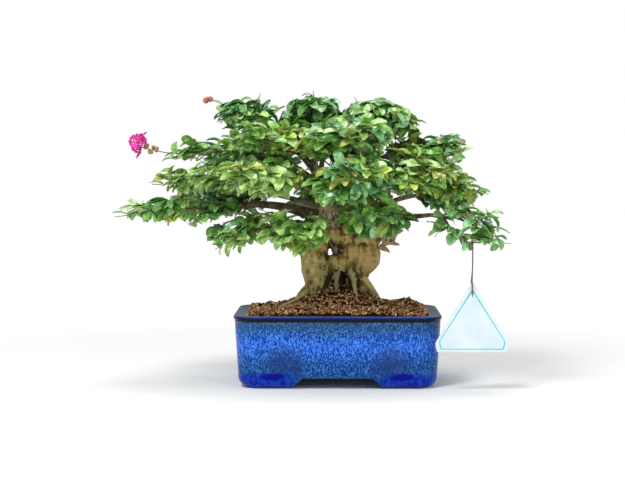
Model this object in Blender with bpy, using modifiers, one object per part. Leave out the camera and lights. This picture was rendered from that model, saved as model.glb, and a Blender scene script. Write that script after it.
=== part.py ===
"""Crape myrtle trained as a bonsai, in a glazed rectangular pot.

Sizes are in millimetres about the middle of the pot, +X right, +Y back, +Z up, and are turned
into metres where a mesh is made.  The whole model is then moved so that the middle of its
bounding box stands on the origin.
"""
import math
import random

import bmesh
import bpy
from mathutils import Matrix, Vector, noise
from mathutils.bvhtree import BVHTree

MM = 0.001
GAP = 0.35                      # air between two pieces that meet
SEED = 7

# Pot
POT_LENGTH = 250.0              # across the lip
POT_DEPTH = 188.0
POT_HEIGHT = 86.0
POT_CORNER = 33.0               # corner radius of the lip
LIP_HEIGHT = 4.5
LIP_PROUD = 1.3                 # how far the lip stands out of the wall
RIM_WIDTH = 16.0
WALL_LEAN = 5.2                 # how far each wall leans in from the lip to the feet
WALL_TUCK = 9.0                 # extra inward curve right at the feet
FOOT_HEIGHT = 13.0
FLOOR_THICK = 5.0
FOOT_NOTCH_BOTTOM = (111.0, 76.0)   # clear span between the feet, along X and along Y
FOOT_NOTCH_TOP = (83.0, 54.0)
DRAIN_RADIUS = 7.0
DRAIN_SPACING = 110.0

# Soil
SOIL_EDGE_DROP = 3.0            # soil surface below the rim, at the wall
SOIL_SWELL = (14.0, 110.0, 85.0)        # broad rise: height, reach along x and along y
SOIL_MOUND = (20.0, 42.0, 36.0)         # steeper mound under the trunk
SOIL_HEAP = (86.0, -6.0, 9.0, 15.0)     # small heap at the right: x, y, height, reach
SOIL_LUMP = 2.2

# Trunk
TRUNK_CUT = 92.0                # level of the flat cut, inside the mound
GROUND_BLOCK = 400.0            # size of the block that cuts it
TRUNK_ROOM = 0.45               # clearance that the soil and the boughs keep from the trunk
TRUNK_VOXEL = 2.3
TRUNK_FACES = 1100
TRUNK_LUMP = 2.2
TRUNK_SMOOTH_ABOVE = 215.0      # the forks above here have finer lumps

# Boughs and foliage
BOUGH_SIDES = 5
BOUGH_END = 0.9                 # share of a mass's radius that its bough stops at
BOUGH_END_MOST = 0.8
TWIG_RADIUS = 0.95
TWIG_TIP = 0.5
TWIG_SHORTEST = 12.0
TWIG_SPAN = (0.08, 0.84)        # where along its stem the first twig is, and the stretch they share
TWIG_LEAN = (0.4, 0.9)          # how far a twig leans forward along its stem
LEAF_LENGTH = 38.0
LEAF_WIDTH = 21.5
LEAF_THICK = 0.8
LEAF_FOLD = 1.9                 # how far the midrib lies below the two edges
LEAF_PITCH = 15.0               # distance between leaf pairs along a twig
TWIG_ROLL = 1.1                 # how far a twig may turn out of the level, in radians
LEAF_ROLL = 0.9
LEAF_LEAN = (0.3, 0.9)
LEAF_SPREAD = (0.7, 1.1)
LEAF_DROOP = (0.0, 0.4)
LEAF_OUTWARD = (0.5, 1.6)       # how far a blade's face turns away from the trunk
LEAF_TILT = 0.4
LEAF_SIZES = (0.8, 1.1)
LEAF_ROUNDS = 8                 # times the sites are tried before a mass is full
PAIR_OFFSET = 0.9               # one leaf of a pair stands this far before the other
SPACE_SLACK = 1.27              # how far past its ellipsoid a mass may reach
CELL_MARGIN = 0.25              # kept by each mass to the plane it shares with the next

# Tag on its wire
TAG_PLACE = (157.5, -105.0)     # x and y of the wire it hangs on
TAG_HOLE_Z = 112.5
TAG_APEX_UP = 17.5              # apex above the hole
TAG_SHOULDER_DOWN = 56.0        # where the sides end, below the hole
TAG_BOTTOM_DOWN = 66.0
TAG_HALF_SHOULDER = 43.5
TAG_HALF_BOTTOM = 41.0
TAG_APEX_HALF = 2.4
TAG_APEX_EASE = 1.6
TAG_THICK = 1.0
TAG_HOLE_RADIUS = 2.6
TAG_ROOM = 1.0                  # air that the leaves leave round the tag
TIE_RADIUS = 0.75
TIE_TOP_Z = 175.0               # middle of the loop round the twig
TIE_TOP_LOOP = 3.4
TIE_LOW_LOOP_TOP = 134.0
TIE_LOW_LOOP_DEPTH = 3.0
TIE_SAG = 0.2                   # the low loop hangs this far below the middle of the hole
TIE_LAP = (0.4, 0.2)            # how far the straight run goes into the low and the top loop

# Blossom and buds
BLOSSOM_BEAD = 4.0
BLOSSOM_PETALS = 7
BLOSSOM_PETAL = 12.0
GOLDEN_ANGLE = 2.399963
CAPSULE_RADIUS = 3.2
BUD_RADIUS = 4.2


# ---------------------------------------------------------------- scene helpers

def clear_scene():
    for item in list(bpy.data.objects):
        bpy.data.objects.remove(item, do_unlink=True)


def new_collection(name):
    made = bpy.data.collections.new(name)
    bpy.context.scene.collection.children.link(made)
    return made


def material(name, colour, roughness, metallic=0.0, coat=0.0):
    made = bpy.data.materials.new(name)
    made.use_nodes = True
    shader = made.node_tree.nodes["Principled BSDF"]
    shader.inputs["Base Color"].default_value = (*colour, 1.0)
    shader.inputs["Roughness"].default_value = roughness
    shader.inputs["Metallic"].default_value = metallic
    shader.inputs["Coat Weight"].default_value = coat
    made.diffuse_color = (*colour, 1.0)
    return made


def add_object(name, mesh, home, finish=None):
    made = bpy.data.objects.new(name, mesh)
    home.objects.link(made)
    if finish is not None:
        mesh.materials.clear()
        mesh.materials.append(finish)
    return made


def mesh_from(name, form):
    """Turn a bmesh in millimetres into a mesh in metres, with its faces pointing out."""
    bmesh.ops.recalc_face_normals(form, faces=form.faces)
    bmesh.ops.scale(form, vec=(MM, MM, MM), verts=form.verts)
    mesh = bpy.data.meshes.new(name)
    form.to_mesh(mesh)
    form.free()
    return mesh


def evaluated_mesh(item):
    bpy.context.view_layer.update()
    graph = bpy.context.evaluated_depsgraph_get()
    return bpy.data.meshes.new_from_object(item.evaluated_get(graph))


def apply_modifiers(item):
    """Keep the object, with its modifiers worked into its mesh."""
    shaped = evaluated_mesh(item)
    item.modifiers.clear()
    old = item.data
    item.data = shaped
    bpy.data.meshes.remove(old)


def as_cutter(item):
    item.hide_render = True
    item.display_type = "WIRE"


def boolean(item, cutter, operation="DIFFERENCE"):
    step = item.modifiers.new(operation.lower(), "BOOLEAN")
    step.operation = operation
    step.object = cutter
    step.solver = "EXACT"


# ---------------------------------------------------------------- lofts

def rounded_outline(length, depth, radius, per_corner=5):
    """Points round a rectangle with round corners, anticlockwise."""
    points = []
    for turn, (sx, sy) in enumerate([(1, 1), (-1, 1), (-1, -1), (1, -1)]):
        cx = sx * (length / 2 - radius)
        cy = sy * (depth / 2 - radius)
        for step in range(per_corner + 1):
            angle = math.radians(90 * (turn + step / per_corner))
            points.append((cx + radius * math.cos(angle), cy + radius * math.sin(angle)))
    return points


def loft(rings):
    """Join rings of equal point count into one closed form, capped at both ends."""
    form = bmesh.new()
    loops = [[form.verts.new(point) for point in ring] for ring in rings]
    count = len(rings[0])
    for low, high in zip(loops, loops[1:]):
        for i in range(count):
            j = (i + 1) % count
            form.faces.new((low[i], low[j], high[j], high[i]))
    form.faces.new(list(reversed(loops[0])))
    form.faces.new(loops[-1])
    return form


def smooth_path(points, pieces):
    """Catmull-Rom curve through the points, with an even number of pieces a span."""
    points = [Vector(p) for p in points]
    path = []
    ends = [points[0] * 2 - points[1], *points, points[-1] * 2 - points[-2]]
    for a, b, c, d in zip(ends, ends[1:], ends[2:], ends[3:]):
        for i in range(pieces):
            t = i / pieces
            path.append(0.5 * (2 * b + (c - a) * t + (2 * a - 5 * b + 4 * c - d) * t * t
                               + (3 * b - a - 3 * c + d) * t ** 3))
    path.append(points[-1])
    return path


def tube(path, radii, sides, spin=0.0):
    """A limb: one ring of given radius about each point of the path."""
    rings = []
    side = Vector((0.13, 0.21, 1.0))
    for i, centre in enumerate(path):
        ahead = (path[min(i + 1, len(path) - 1)] - path[max(i - 1, 0)]).normalized()
        across = ahead.cross(side)
        if across.length < 0.2:
            across = ahead.cross(Vector((1.0, 0.1, 0.0)))
        across.normalize()
        up = across.cross(ahead)
        side = up
        turns = [spin + 2 * math.pi * k / sides for k in range(sides)]
        rings.append([centre + radii[i] * (across * math.cos(a) + up * math.sin(a)) for a in turns])
    return loft(rings)


def taper(count, first, last, power=1.0):
    return [first + (last - first) * (i / (count - 1)) ** power for i in range(count)]


# ---------------------------------------------------------------- pot and soil

def pot_ring(z, inset):
    radius = max(POT_CORNER - inset * 0.9, 6.0)
    outline = rounded_outline(POT_LENGTH - 2 * inset, POT_DEPTH - 2 * inset, radius)
    return [(x, y, z) for x, y in outline]


def wall_inset(z):
    """How far the outside of the wall stands inside the lip's edge at a height."""
    top = POT_HEIGHT - LIP_HEIGHT
    lean = WALL_LEAN * (1 - z / top)
    tuck = WALL_TUCK * max(0.0, 1 - z / 14.0) ** 3
    return LIP_PROUD + lean + tuck


def inner_inset(z):
    return RIM_WIDTH + (POT_HEIGHT - z) * 0.06


def notch_cutter(name, along, bottom, top, length, home):
    """Trapezoid prism that leaves a foot on each side of it."""
    low = -2.0
    spread = bottom + (bottom - top) * (0 - low) / FOOT_HEIGHT
    rings = []
    for s in (-1, 1):
        section = [(-spread / 2, low), (spread / 2, low), (top / 2, FOOT_HEIGHT), (-top / 2, FOOT_HEIGHT)]
        if along == "y":
            rings.append([(u, s * length / 2, v) for u, v in section])
        else:
            rings.append([(s * length / 2, u, v) for u, v in section])
    cutter = add_object(name, mesh_from(name, loft(rings)), home)
    as_cutter(cutter)
    return cutter


def make_pot(home, cutters, finish):
    lip_low = POT_HEIGHT - LIP_HEIGHT
    rings = [pot_ring(z, wall_inset(z)) for z in (0.0, 3.0, 7.0, 14.0, 45.0, lip_low)]
    rings.append(pot_ring(lip_low, 0.0))
    rings.append(pot_ring(POT_HEIGHT - 1.0, 0.0))
    rings.append(pot_ring(POT_HEIGHT, 1.0))
    rings.append(pot_ring(POT_HEIGHT, RIM_WIDTH - 1.5))
    rings.append(pot_ring(POT_HEIGHT - 1.5, inner_inset(POT_HEIGHT)))
    floor = FOOT_HEIGHT + FLOOR_THICK
    rings.append(pot_ring(floor, inner_inset(floor)))
    pot = add_object("pot", mesh_from("pot", loft(rings)), home, finish)
    boolean(pot, notch_cutter("notch_front", "y", FOOT_NOTCH_BOTTOM[0], FOOT_NOTCH_TOP[0],
                              POT_DEPTH + 20, cutters))
    boolean(pot, notch_cutter("notch_side", "x", FOOT_NOTCH_BOTTOM[1], FOOT_NOTCH_TOP[1],
                              POT_LENGTH + 20, cutters))
    for side in (-1, 1):
        drain = bmesh.new()
        place = Matrix.Translation((side * DRAIN_SPACING / 2, 0, FOOT_HEIGHT + FLOOR_THICK / 2))
        bmesh.ops.create_cone(drain, cap_ends=True, segments=12, radius1=DRAIN_RADIUS,
                              radius2=DRAIN_RADIUS, depth=FLOOR_THICK * 3, matrix=place)
        cutter = add_object("drain_cutter", mesh_from("drain_cutter", drain), cutters)
        as_cutter(cutter)
        boolean(pot, cutter)
    apply_modifiers(pot)
    return pot


def soil_level(x, y):
    """Height of the soil surface: level at the wall, a mound under the trunk, a heap beside it."""
    mound = sum(rise * math.exp(-(x / wide) ** 2 - (y / deep) ** 2)
                for rise, wide, deep in (SOIL_SWELL, SOIL_MOUND))
    hx, hy, rise, size = SOIL_HEAP
    heap = rise * math.exp(-((x - hx) / size) ** 2 - ((y - hy) / (size * 1.6)) ** 2)
    lump = SOIL_LUMP * noise.noise(Vector((x, y, 3.0)) / 9.0)
    return POT_HEIGHT - SOIL_EDGE_DROP + mound + heap + lump


def make_soil(home, finish):
    floor = FOOT_HEIGHT + FLOOR_THICK + GAP
    brim = POT_HEIGHT - 6.0
    rings = [pot_ring(floor, inner_inset(floor) + GAP), pot_ring(brim, inner_inset(brim) + GAP)]
    edge = pot_ring(0.0, inner_inset(brim) + GAP)
    for share in (0.99, 0.72, 0.38):
        rings.append([(x * share, y * share, soil_level(x * share, y * share)) for x, y, _ in edge])
    return add_object("soil", mesh_from("soil", loft(rings)), home, finish)


# ---------------------------------------------------------------- trunk

def trunk_limbs():
    """The trunk's swellings, roots and forks: each a run of (x, y, z, radius)."""
    return [
        # left leg, from the ground up into the gnarled middle
        [(-28, -4, 86, 8), (-27, -4, 108, 11), (-25, -3, 122, 16.5), (-26, -2, 138, 18.5),
         (-30, 0, 158, 17), (-26, 2, 178, 15), (-12, 3, 196, 15), (-14, 3, 214, 11),
         (-24, 4, 236, 7.5), (-28, 3, 262, 5.5), (-30, 2, 284, 4.2)],
        # right leg: a thin foot under a round bulb
        [(26, 2, 86, 9), (28, 2, 108, 8.5), (29, 1, 122, 9), (28, 0, 136, 16), (32, 0, 152, 23),
         (31, 1, 168, 21), (36, 1, 186, 21), (30, 2, 204, 17), (26, 4, 222, 9.5),
         (32, 5, 246, 6.5), (40, 5, 270, 5), (42, 4, 286, 4)],
        # bridge that joins the legs, and the mass above the gap
        [(-20, -2, 143, 12), (-6, -3, 143, 11), (6, -3, 144, 12), (18, -1, 146, 14)],
        [(-18, 2, 180, 15), (0, 0, 182, 18), (20, 0, 182, 20)],
        [(0, 1, 172, 12), (6, 0, 162, 12), (20, 0, 156, 13)],
        [(-26, 0, 166, 16), (-20, 0, 174, 15), (-12, 1, 182, 14)],
        # right shoulder, out to the first big bough
        [(34, 0, 190, 16), (50, -4, 194, 12), (58, -8, 202, 8)],
        [(40, -2, 178, 14), (54, -5, 183, 9)],
        # surface roots
        [(-30, -6, 118, 7), (-42, -10, 107, 4), (-54, -14, 99, 3.1), (-66, -18, 88, 2.7)],
        [(-28, 6, 118, 9), (-42, 20, 106, 7), (-56, 32, 86, 5)],
        [(28, -4, 130, 6.5), (37, -10, 121, 4.2), (45, -13, 111, 3.5), (54, -16, 99, 3), (60, -18, 86, 2.8)],
        [(28, 8, 128, 9), (38, 24, 112, 6), (48, 36, 88, 5)],
        [(16, -8, 138, 6), (20, -14, 126, 4), (22, -19, 112, 3.2), (24, -24, 88, 3)],
        [(16, 8, 138, 10), (18, 12, 116, 12), (20, 14, 88, 14)],
        [(-2, -6, 138, 6), (-2, -16, 122, 4), (-1, -20, 108, 3.6), (-2, -24, 88, 3.6)],
        [(0, 8, 138, 10), (-2, 15, 116, 10), (-2, 22, 88, 12)],
        [(-10, -4, 134, 8), (-13, -9, 116, 5), (-18, -16, 90, 5)],
        # cut stubs: two on the shoulder, one on the crown
        [(54, -8, 184, 5), (64, -14, 176, 4.2), (72, -17, 175, 3)],
        [(58, -9, 178, 4.5), (68, -15, 184, 3), (80, -17, 188, 2.4)],
    ]


def make_trunk(home, cutters, finish):
    form = bmesh.new()
    for limb in trunk_limbs():
        path = smooth_path([spot[:3] for spot in limb], 3)
        radii = [r.x for r in smooth_path([(spot[3], 0, 0) for spot in limb], 3)]
        piece = bpy.data.meshes.new("limb")
        part = tube(path, radii, 12)
        bmesh.ops.recalc_face_normals(part, faces=part.faces)
        part.to_mesh(piece)
        part.free()
        form.from_mesh(piece)
        bpy.data.meshes.remove(piece)
    bmesh.ops.scale(form, vec=(MM, MM, MM), verts=form.verts)
    mesh = bpy.data.meshes.new("trunk")
    form.to_mesh(mesh)
    form.free()
    trunk = add_object("trunk", mesh, home, finish)
    skin = trunk.modifiers.new("skin", "REMESH")
    skin.mode = "VOXEL"
    skin.voxel_size = TRUNK_VOXEL * MM
    ease = trunk.modifiers.new("ease", "SMOOTH")
    ease.factor = 0.5
    ease.iterations = 3
    apply_modifiers(trunk)
    for vertex in trunk.data.vertices:
        spot = vertex.co / MM
        lump = noise.noise(Vector((spot.x / 15, spot.y / 15, spot.z / 26)))
        knot = noise.noise(spot / 7.0)
        strength = TRUNK_LUMP if spot.z < TRUNK_SMOOTH_ABOVE else TRUNK_LUMP * 0.4
        vertex.co += vertex.normal * MM * strength * (lump + 0.45 * knot)
    thin = trunk.modifiers.new("thin", "DECIMATE")
    thin.ratio = TRUNK_FACES / (2 * len(trunk.data.polygons))
    apply_modifiers(trunk)
    cut_flat(trunk, cutters)
    return trunk


def cut_flat(item, cutters):
    """Saw the trunk off level at the ground."""
    block = bmesh.new()
    place = Matrix.Translation((0, 0, TRUNK_CUT - GROUND_BLOCK / 2))
    bmesh.ops.create_cube(block, size=GROUND_BLOCK, matrix=place)
    ground = add_object("ground_cutter", mesh_from("ground_cutter", block), cutters)
    as_cutter(ground)
    boolean(item, ground)
    apply_modifiers(item)


def inflated(item, amount, home):
    """A copy swollen by the amount, to cut away what would touch."""
    mesh = item.data.copy()
    copy = add_object(item.name + "_room", mesh, home)
    for vertex in mesh.vertices:
        vertex.co += vertex.normal * amount * MM
    as_cutter(copy)
    return copy


# ---------------------------------------------------------------- masses of foliage

class Mass:
    """One mass: its space is an ellipsoid, its bough springs from a fork on the trunk."""

    def __init__(self, name, fork, centre, radii, tip, leaves, via=(), girth=(4.0, 2.0),
                 arch=6.0, through=(), twigs=7, bare=0.0):
        self.name = name
        self.centre = Vector(centre)
        self.radii = Vector(radii)
        self.fork = Vector(fork)
        self.tip = Vector(tip)
        self.leaves = leaves
        self.girth = girth
        self.via = [Vector(v) for v in via]
        self.through = [Vector(v) for v in through]
        self.arch = arch
        self.twigs = twigs
        self.bare = bare            # share of the stem's end that has no leaves
        self.planes = []

    def entry(self):
        """Where the bough ends, a little way inside the mass."""
        back = (self.via[-1] if self.via else self.fork) - self.centre
        reach = Vector([back[i] / self.radii[i] for i in range(3)]).length
        return self.centre + back * min(BOUGH_END / reach, BOUGH_END_MOST)

    def bough_path(self):
        start = self.fork
        end = self.entry()
        if self.via:
            return smooth_path([start, *self.via, end], 2)
        middle = (start + end) / 2 + Vector((0, 0, self.arch))
        return smooth_path([start, middle, end], 3)

    def holds(self, point, slack=1.0):
        """True where the point is in this mass's own space."""
        off = point - self.centre
        if Vector([off[i] / self.radii[i] for i in range(3)]).length > slack:
            return False
        return all(point.dot(normal) < limit - CELL_MARGIN for normal, limit in self.planes)


def share_space(masses):
    """Give each pair of masses the plane between them, placed by their sizes along it."""
    for one in masses:
        for other in masses:
            if one is other:
                continue
            apart = other.centre - one.centre
            normal = Vector([apart[i] / (one.radii[i] ** 2 + other.radii[i] ** 2) for i in range(3)])
            normal.normalize()
            own = Vector([one.radii[i] * normal[i] for i in range(3)]).length
            their = Vector([other.radii[i] * normal[i] for i in range(3)]).length
            spot = one.centre + apart * own / (own + their)
            one.planes.append((normal, spot.dot(normal)))


def crown():
    """The masses, from the low left round to the back."""
    return [
        Mass("left_low", (-30, -3, 200), (-196, -18, 210), (80, 42, 19), (-273, -20, 202), 21,
             via=[(-60, -6, 211), (-92, -9, 216)], girth=(5.0, 2.6), twigs=8, bare=0.15),
        Mass("left_mid", (-24, -6, 216), (-160, -28, 249), (62, 44, 21), (-226, -26, 242), 20,
             via=[(-62, -18, 226)], girth=(4.0, 2.1), bare=0.1),
        Mass("flower_shoot", (-27, -2, 246), (-148, -24, 284), (80, 30, 17), (-241, -24, 288), 18,
             via=[(-60, -14, 268)], girth=(3.6, 1.9), twigs=7, bare=0.3,
             through=[(-125, -24, 282), (-165, -24, 279), (-205, -24, 277)]),
        Mass("upper_left", (-29, 0, 266), (-98, -6, 326), (52, 48, 23), (-155, -8, 345), 20,
             girth=(3.6, 1.9), arch=8),
        Mass("top", (-30, 2, 276), (-32, -10, 320), (54, 56, 28), (-30, -8, 356), 21, girth=(3.6, 2.2),
             arch=0),
        Mass("top_right", (42, 4, 278), (42, -10, 316), (58, 58, 28), (90, -10, 318), 21,
             girth=(3.6, 2.2), arch=0),
        Mass("right_shoulder", (36, 4, 258), (106, 6, 285), (46, 54, 30), (150, 6, 280), 20,
             girth=(3.8, 2.0), arch=10),
        Mass("right_end", (50, 0, 206), (136, 12, 237), (43, 50, 29), (172, 12, 232), 20,
             via=[(72, 6, 222)], girth=(4.6, 2.2)),
        Mass("right_droop", (52, -10, 206), (154, -92, 195), (52, 30, 26), (202, -110, 174), 18,
             via=[(60, -20, 205), (74, -32, 207), (92, -48, 204), (112, -68, 206)], girth=(5.0, 2.0),
             through=[(136, -92, 186), (146, -100, 178), (158, -105, 175), (180, -108, 176)]),
        Mass("front_left", (-26, -3, 232), (-88, -78, 256), (50, 46, 32), (-126, -104, 256), 20,
             girth=(3.6, 2.0), arch=8),
        Mass("front_middle", (4, -14, 208), (14, -88, 249), (56, 48, 36), (30, -126, 246), 22,
             girth=(4.0, 2.2), arch=12),
        Mass("front_low_right", (34, -14, 196), (44, -62, 205), (44, 34, 27), (70, -84, 202), 17,
             girth=(3.0, 1.8), arch=4),
        Mass("front_low_left", (-28, -12, 186), (-54, -50, 196), (44, 36, 38), (-76, -72, 176), 18,
             girth=(2.8, 1.8)),
        Mass("left_hang", (-36, -6, 190), (-120, -20, 184), (38, 36, 26), (-150, -24, 162), 17,
             via=[(-62, -8, 192)], girth=(3.2, 1.8)),
        Mass("front_top", (-6, -6, 218), (8, -78, 299), (66, 50, 36), (14, -120, 294), 25,
             via=[(-8, -30, 244), (-4, -44, 272)], girth=(3.8, 2.0)),
        Mass("front_upper_left", (-29, -1, 256), (-84, -62, 300), (50, 44, 26), (-120, -84, 296), 20,
             girth=(3.2, 1.9), arch=8),
        Mass("front_right", (30, -6, 228), (92, -72, 268), (52, 48, 38), (128, -96, 256), 21,
             girth=(3.8, 2.1), arch=12),
        Mass("back_left", (-24, 8, 230), (-108, 80, 262), (64, 58, 36), (-156, 106, 260), 21,
             girth=(4.2, 2.2), arch=10),
        Mass("back_right", (30, 10, 232), (90, 84, 262), (60, 56, 36), (130, 110, 258), 21,
             girth=(4.2, 2.2), arch=10),
        Mass("back_top", (-22, 7, 250), (-10, 74, 306), (64, 54, 30), (-8, 116, 306), 21,
             girth=(3.8, 2.1), arch=8),
        Mass("back_low", (8, 14, 210), (-16, 94, 222), (72, 50, 29), (-16, 138, 218), 20,
             girth=(4.2, 2.2), arch=8),
        Mass("left_back_low", (-22, 8, 206), (-154, 46, 222), (62, 46, 24), (-206, 62, 216), 19,
             via=[(-70, 26, 216)], girth=(4.0, 2.1)),
    ]


# ---------------------------------------------------------------- twigs and leaves

def leaf_form(base, ahead, up, length, width):
    """A folded leaf of eight faces that droops a little towards its tip."""
    across = ahead.cross(up).normalized()
    up = across.cross(ahead).normalized()
    widest = base + ahead * length * 0.5 + up * length * 0.05
    tip = base + ahead * length - up * length * 0.1
    left = widest + across * width / 2
    right = widest - across * width / 2
    rib = widest - up * LEAF_FOLD
    under = rib - up * LEAF_THICK
    form = bmesh.new()
    b, t, l, r, m, u = (form.verts.new(p) for p in (base, tip, left, right, rib, under))
    for face in ((b, m, l), (b, r, m), (t, l, m), (t, m, r), (b, l, u), (b, u, r), (t, u, l), (t, r, u)):
        form.faces.new(face)
    return form


def bead_form(place, radius):
    form = bmesh.new()
    bmesh.ops.create_icosphere(form, subdivisions=1, radius=radius, matrix=Matrix.Translation(place))
    return form


def form_tree(form):
    return BVHTree.FromBMesh(form)


class Grower:
    """Grows one mass: a stem, side twigs by rule, and leaves in pairs along them."""

    def __init__(self, mass, limbs, rng):
        self.mass = mass
        self.limbs = limbs
        self.rng = rng
        self.forms = []
        self.trees = []
        self.leaf_sites = []

    def keep(self, form):
        self.forms.append(form)
        self.trees.append(form_tree(form))

    def free(self, form, own=-1):
        """True where the form keeps to the mass's space and touches no limb and no other growth."""
        if not all(self.mass.holds(v.co, SPACE_SLACK) for v in form.verts):
            return False
        tree = form_tree(form)
        if any(tree.overlap(limb) for limb in self.limbs.values()):
            return False
        return not any(tree.overlap(other) for i, other in enumerate(self.trees) if i != own)

    def stem(self, start, ahead):
        mass = self.mass
        middle = (start + mass.tip) / 2
        middle += Vector((0, self.rng.uniform(-6, 6), self.rng.uniform(1, 5)))
        points = [start + ahead * 4, *(mass.through or [middle]), mass.tip]
        path = [start, *smooth_path(points, 2 if mass.through else 3)]
        radii = taper(len(path), mass.girth[1], TWIG_TIP)
        self.keep(tube(path, radii, 3))
        leafy = len(path) - round(mass.bare * len(path))
        self.sites(path[:leafy], radii, 2)
        return path, radii

    def sites(self, path, radii, first):
        """Note where leaf pairs may stand along a twig."""
        gone = 0.0
        for i in range(first, len(path)):
            step = path[i] - path[i - 1]
            ahead = step.normalized()
            while gone < step.length:
                self.leaf_sites.append((path[i - 1] + ahead * gone, ahead, len(self.forms) - 1))
                gone += LEAF_PITCH * self.rng.uniform(0.8, 1.2)
            gone -= step.length
        self.leaf_sites.append((path[-1] - ahead * 2.5, ahead, len(self.forms) - 1))

    def side_twigs(self, path, radii):
        mass = self.mass
        rng = self.rng
        for k in range(mass.twigs):
            share = TWIG_SPAN[0] + (TWIG_SPAN[1] - mass.bare) * (k + 0.5) / mass.twigs
            i = max(1, min(len(path) - 2, round(share * (len(path) - 1))))
            ahead = (path[i + 1] - path[i - 1]).normalized()
            side = ahead.cross(Vector((0, 0, 1))).normalized() * (1 if k % 2 else -1)
            roll = rng.uniform(-TWIG_ROLL, TWIG_ROLL)
            out = side * math.cos(roll) + Vector((0, 0, 1)) * math.sin(roll)
            aim = (ahead * rng.uniform(*TWIG_LEAN) + out).normalized()
            for reach in (1.0, 0.75, 0.5):
                if self.twig(path[i], aim, reach, radii[i]):
                    break

    def twig(self, root, aim, reach, parent):
        mass = self.mass
        scaled = Vector([aim[i] / mass.radii[i] for i in range(3)]).length
        length = reach * self.rng.uniform(0.75, 1.0) / scaled
        path = [root, root + aim * length]
        radii = [min(TWIG_RADIUS, parent * 0.8), TWIG_TIP]
        form = tube(path, radii, 3, spin=self.rng.uniform(0, 2))
        if length < TWIG_SHORTEST or not self.free(form, own=0):
            form.free()
            return False
        self.keep(form)
        self.sites(path, radii, 1)
        return True

    def leaves(self):
        """Set a pair of leaves at each site, over and over, up to the mass's number."""
        sites = list(self.leaf_sites)
        self.rng.shuffle(sites)
        made = 0
        for root, ahead, own in sites * LEAF_ROUNDS:
            for hand in (-1, 1):
                if made < self.mass.leaves and self.leaf(root, ahead, hand, own):
                    made += 1

    def leaf(self, root, ahead, hand, own):
        rng = self.rng
        side = ahead.cross(Vector((0, 0, 1)))
        if side.length < 0.2:
            side = Vector((0, 1, 0))
        side.normalize()
        roll = rng.uniform(-LEAF_ROLL, LEAF_ROLL)
        flank = side * math.cos(roll) + Vector((0, 0, 1)) * math.sin(roll)
        aim = ahead * rng.uniform(*LEAF_LEAN) + flank * hand * rng.uniform(*LEAF_SPREAD)
        aim.z -= rng.uniform(*LEAF_DROOP)
        aim.normalize()
        out = Vector((root.x, root.y, 0)).normalized() * rng.uniform(*LEAF_OUTWARD)
        up = Vector((rng.uniform(-LEAF_TILT, LEAF_TILT), rng.uniform(-LEAF_TILT, LEAF_TILT), 1)) + out
        size = rng.uniform(*LEAF_SIZES)
        form = leaf_form(root + ahead * hand * PAIR_OFFSET, aim, up, LEAF_LENGTH * size, LEAF_WIDTH * size)
        if self.free(form, own):
            self.keep(form)
            return True
        form.free()
        return False


def petal_cluster(grower, middle, radius, count, size):
    """A head of crinkled petals that all root in one bead."""
    grower.forms.append(bead_form(middle, radius))
    for k in range(count):
        turn = k * GOLDEN_ANGLE
        lift = 1 - 2 * (k + 0.5) / count
        ring = math.sqrt(1 - lift * lift)
        aim = Vector((ring * math.cos(turn), ring * math.sin(turn), lift))
        up = aim.cross(Vector((0.3, 0.5, 0.8)))
        grower.forms.append(leaf_form(middle + aim * radius * 0.3, aim, up, size, size * 0.8))


def bead_run(grower, points, radius):
    for point in points:
        grower.forms.append(bead_form(Vector(point), radius))


def largest_piece(mesh):
    """Keep the biggest closed shell: loose scraps and shut-in hollows go."""
    form = bmesh.new()
    form.from_mesh(mesh)
    bmesh.ops.triangulate(form, faces=form.faces)
    shells = []
    left = set(form.verts)
    while left:
        front = [left.pop()]
        shell = set(front)
        while front:
            for edge in front.pop().link_edges:
                for vertex in edge.verts:
                    if vertex in left:
                        left.discard(vertex)
                        shell.add(vertex)
                        front.append(vertex)
        shells.append(shell)
    keep = max(shells, key=len)
    bmesh.ops.delete(form, geom=[v for v in form.verts if v not in keep], context="VERTS")
    bmesh.ops.recalc_face_normals(form, faces=form.faces)
    form.to_mesh(mesh)
    form.free()


def fuse(name, forms, home, finish):
    """One Boolean union of all the twigs and leaves of a mass."""
    work = new_collection(name + "_parts")
    for i, form in enumerate(forms[1:]):
        add_object(f"{name}_part_{i}", mesh_from(name, form), work)
    mass = add_object(name, mesh_from(name, forms[0]), home)
    join = mass.modifiers.new("join", "BOOLEAN")
    join.operation = "UNION"
    join.operand_type = "COLLECTION"
    join.collection = work
    join.solver = "MANIFOLD"
    apply_modifiers(mass)
    for item in list(work.objects):
        old = item.data
        bpy.data.objects.remove(item, do_unlink=True)
        bpy.data.meshes.remove(old)
    bpy.data.collections.remove(work)
    largest_piece(mass.data)
    mass.data.materials.clear()
    mass.data.materials.append(finish)
    return mass


# ---------------------------------------------------------------- tag and its wire

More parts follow.
